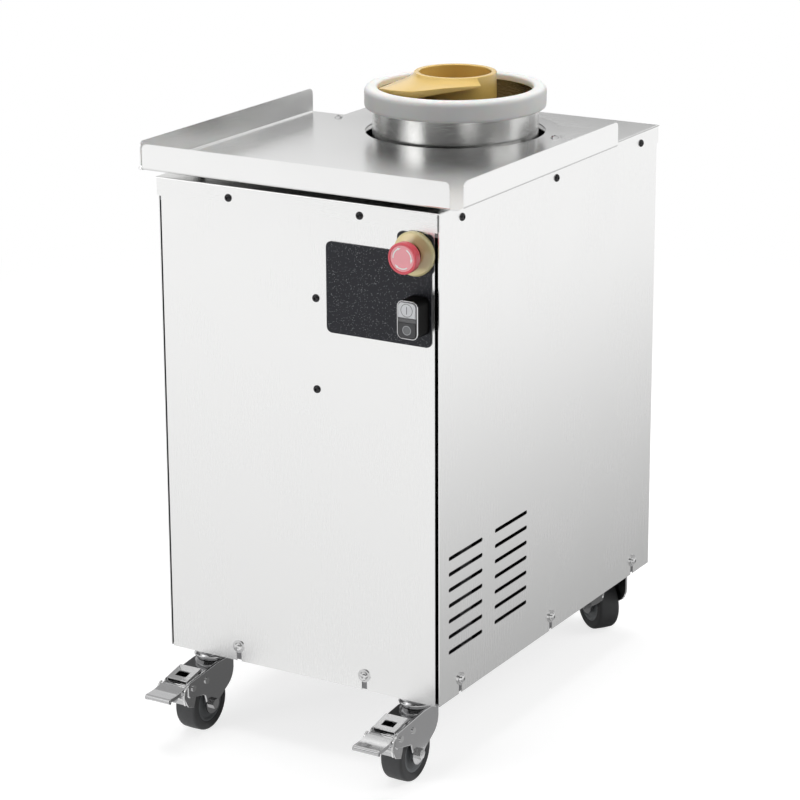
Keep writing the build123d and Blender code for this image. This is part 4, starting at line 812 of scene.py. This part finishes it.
def addFlat(name, corners, mat):
    # four-cornered sheet of the studio
    mesh = bpy.data.meshes.new(name)
    mesh.from_pydata([tuple(corner) for corner in corners], [], [(0, 1, 2, 3)])
    mesh.materials.append(mat)
    flat = addObject(name, mesh)
    return flat


def makeFloor():
    # one square sheet
    half = studio["floorSize"] / 2
    addFlat("studioFloor", [(-half, -half, 0), (half, -half, 0), (half, half, 0), (-half, half, 0)], paperMaterial())


def makeWorld():
    # white for the backdrop's rays, a softer fill for the rest
    world = bpy.data.worlds.new("studioWorld")
    bpy.context.scene.world = world
    world.use_nodes = True
    tree = world.node_tree
    back = tree.nodes["Background"]
    setSockets(back, {"Color": (1, 1, 1, 1)})
    tree.links.new(spread(tree, backdropRays(tree), studio["fill"], 1.0, 0.0, 1.0), back.inputs["Strength"])


def makeLamp(name, look):
    # soft lamp turned from its place to its aim, left out of reflections
    data = bpy.data.lights.new(name, "AREA")
    data.shape = "RECTANGLE"
    data.size, data.size_y = look["size"]
    data.energy = look["power"]
    lamp = addObject(name, data)
    place, aim = np.array(look["place"]), np.array(look["aim"])
    back = (place - aim) / np.linalg.norm(place - aim)
    right = np.cross(upward, back)
    right /= np.linalg.norm(right)
    lamp.matrix_world = placeMatrix(right, np.cross(back, right), back, place)
    lamp.visible_glossy = False


def addReflected(name, corners, look):
    # sheet that shows in reflections alone
    sheet = addFlat(name, corners, rampMaterial(name, look))
    sheet.visible_camera = False
    sheet.visible_diffuse = False
    sheet.visible_shadow = False


def makeFlag(name, ownLook):
    # upright flag, square to a heading from the bowl
    look = {**flagBase, **ownLook}
    heading = math.radians(look["heading"])
    out = np.array((math.cos(heading), math.sin(heading), 0))
    side = np.array((-out[1], out[0], 0)) * look["width"] / 2
    foot = bowlAxis * mm + out * look["reach"]
    low, high = np.array((0, 0, look["low"])), np.array((0, 0, look["high"]))
    addReflected(name, (foot - side + low, foot + side + low, foot + side + high, foot - side + high), look)


def makeCard(name, ownLook):
    # level card, on the floor unless it has a height of its own
    look = {**cardBase, **ownLook}
    (x0, y0), (x1, y1), z = look["low"], look["high"], look["height"]
    addReflected(name, ((x0, y0, z), (x1, y0, z), (x1, y1, z), (x0, y1, z)), look)


def makeCamera():
    # three axes from the angles, with the picture's centre as a shift
    a, e, r = (math.radians(shot[key]) for key in ("azimuth", "elevation", "roll"))
    level = np.array((math.cos(a), math.sin(a), 0))
    back = np.array((math.sin(a) * math.cos(e), -math.cos(a) * math.cos(e), math.sin(e)))
    rise = np.cross(back, level)
    right = level * math.cos(r) + rise * math.sin(r)
    up = rise * math.cos(r) - level * math.sin(r)
    data = bpy.data.cameras.new("photoCamera")
    data.sensor_width = shot["sensor"]
    data.lens = shot["focal"] * shot["sensor"] / shot["frame"]
    data.shift_x = (shot["frame"] / 2 - shot["centre"][0]) / shot["frame"]
    data.shift_y = (shot["centre"][1] - shot["frame"] / 2) / shot["frame"]
    data.clip_end = shot["farthest"]
    camera = addObject("photoCamera", data)
    camera.matrix_world = placeMatrix(right, up, back, shot["place"])
    bpy.context.scene.camera = camera


makeFloor()
makeWorld()
for name, look in lamps.items():
    makeLamp(name, look)
for name, look in flags.items():
    makeFlag(name, look)
for name, look in cards.items():
    makeCard(name, look)
makeCamera()
bpy.context.scene.view_settings.view_transform = "Standard"
print("studio set")
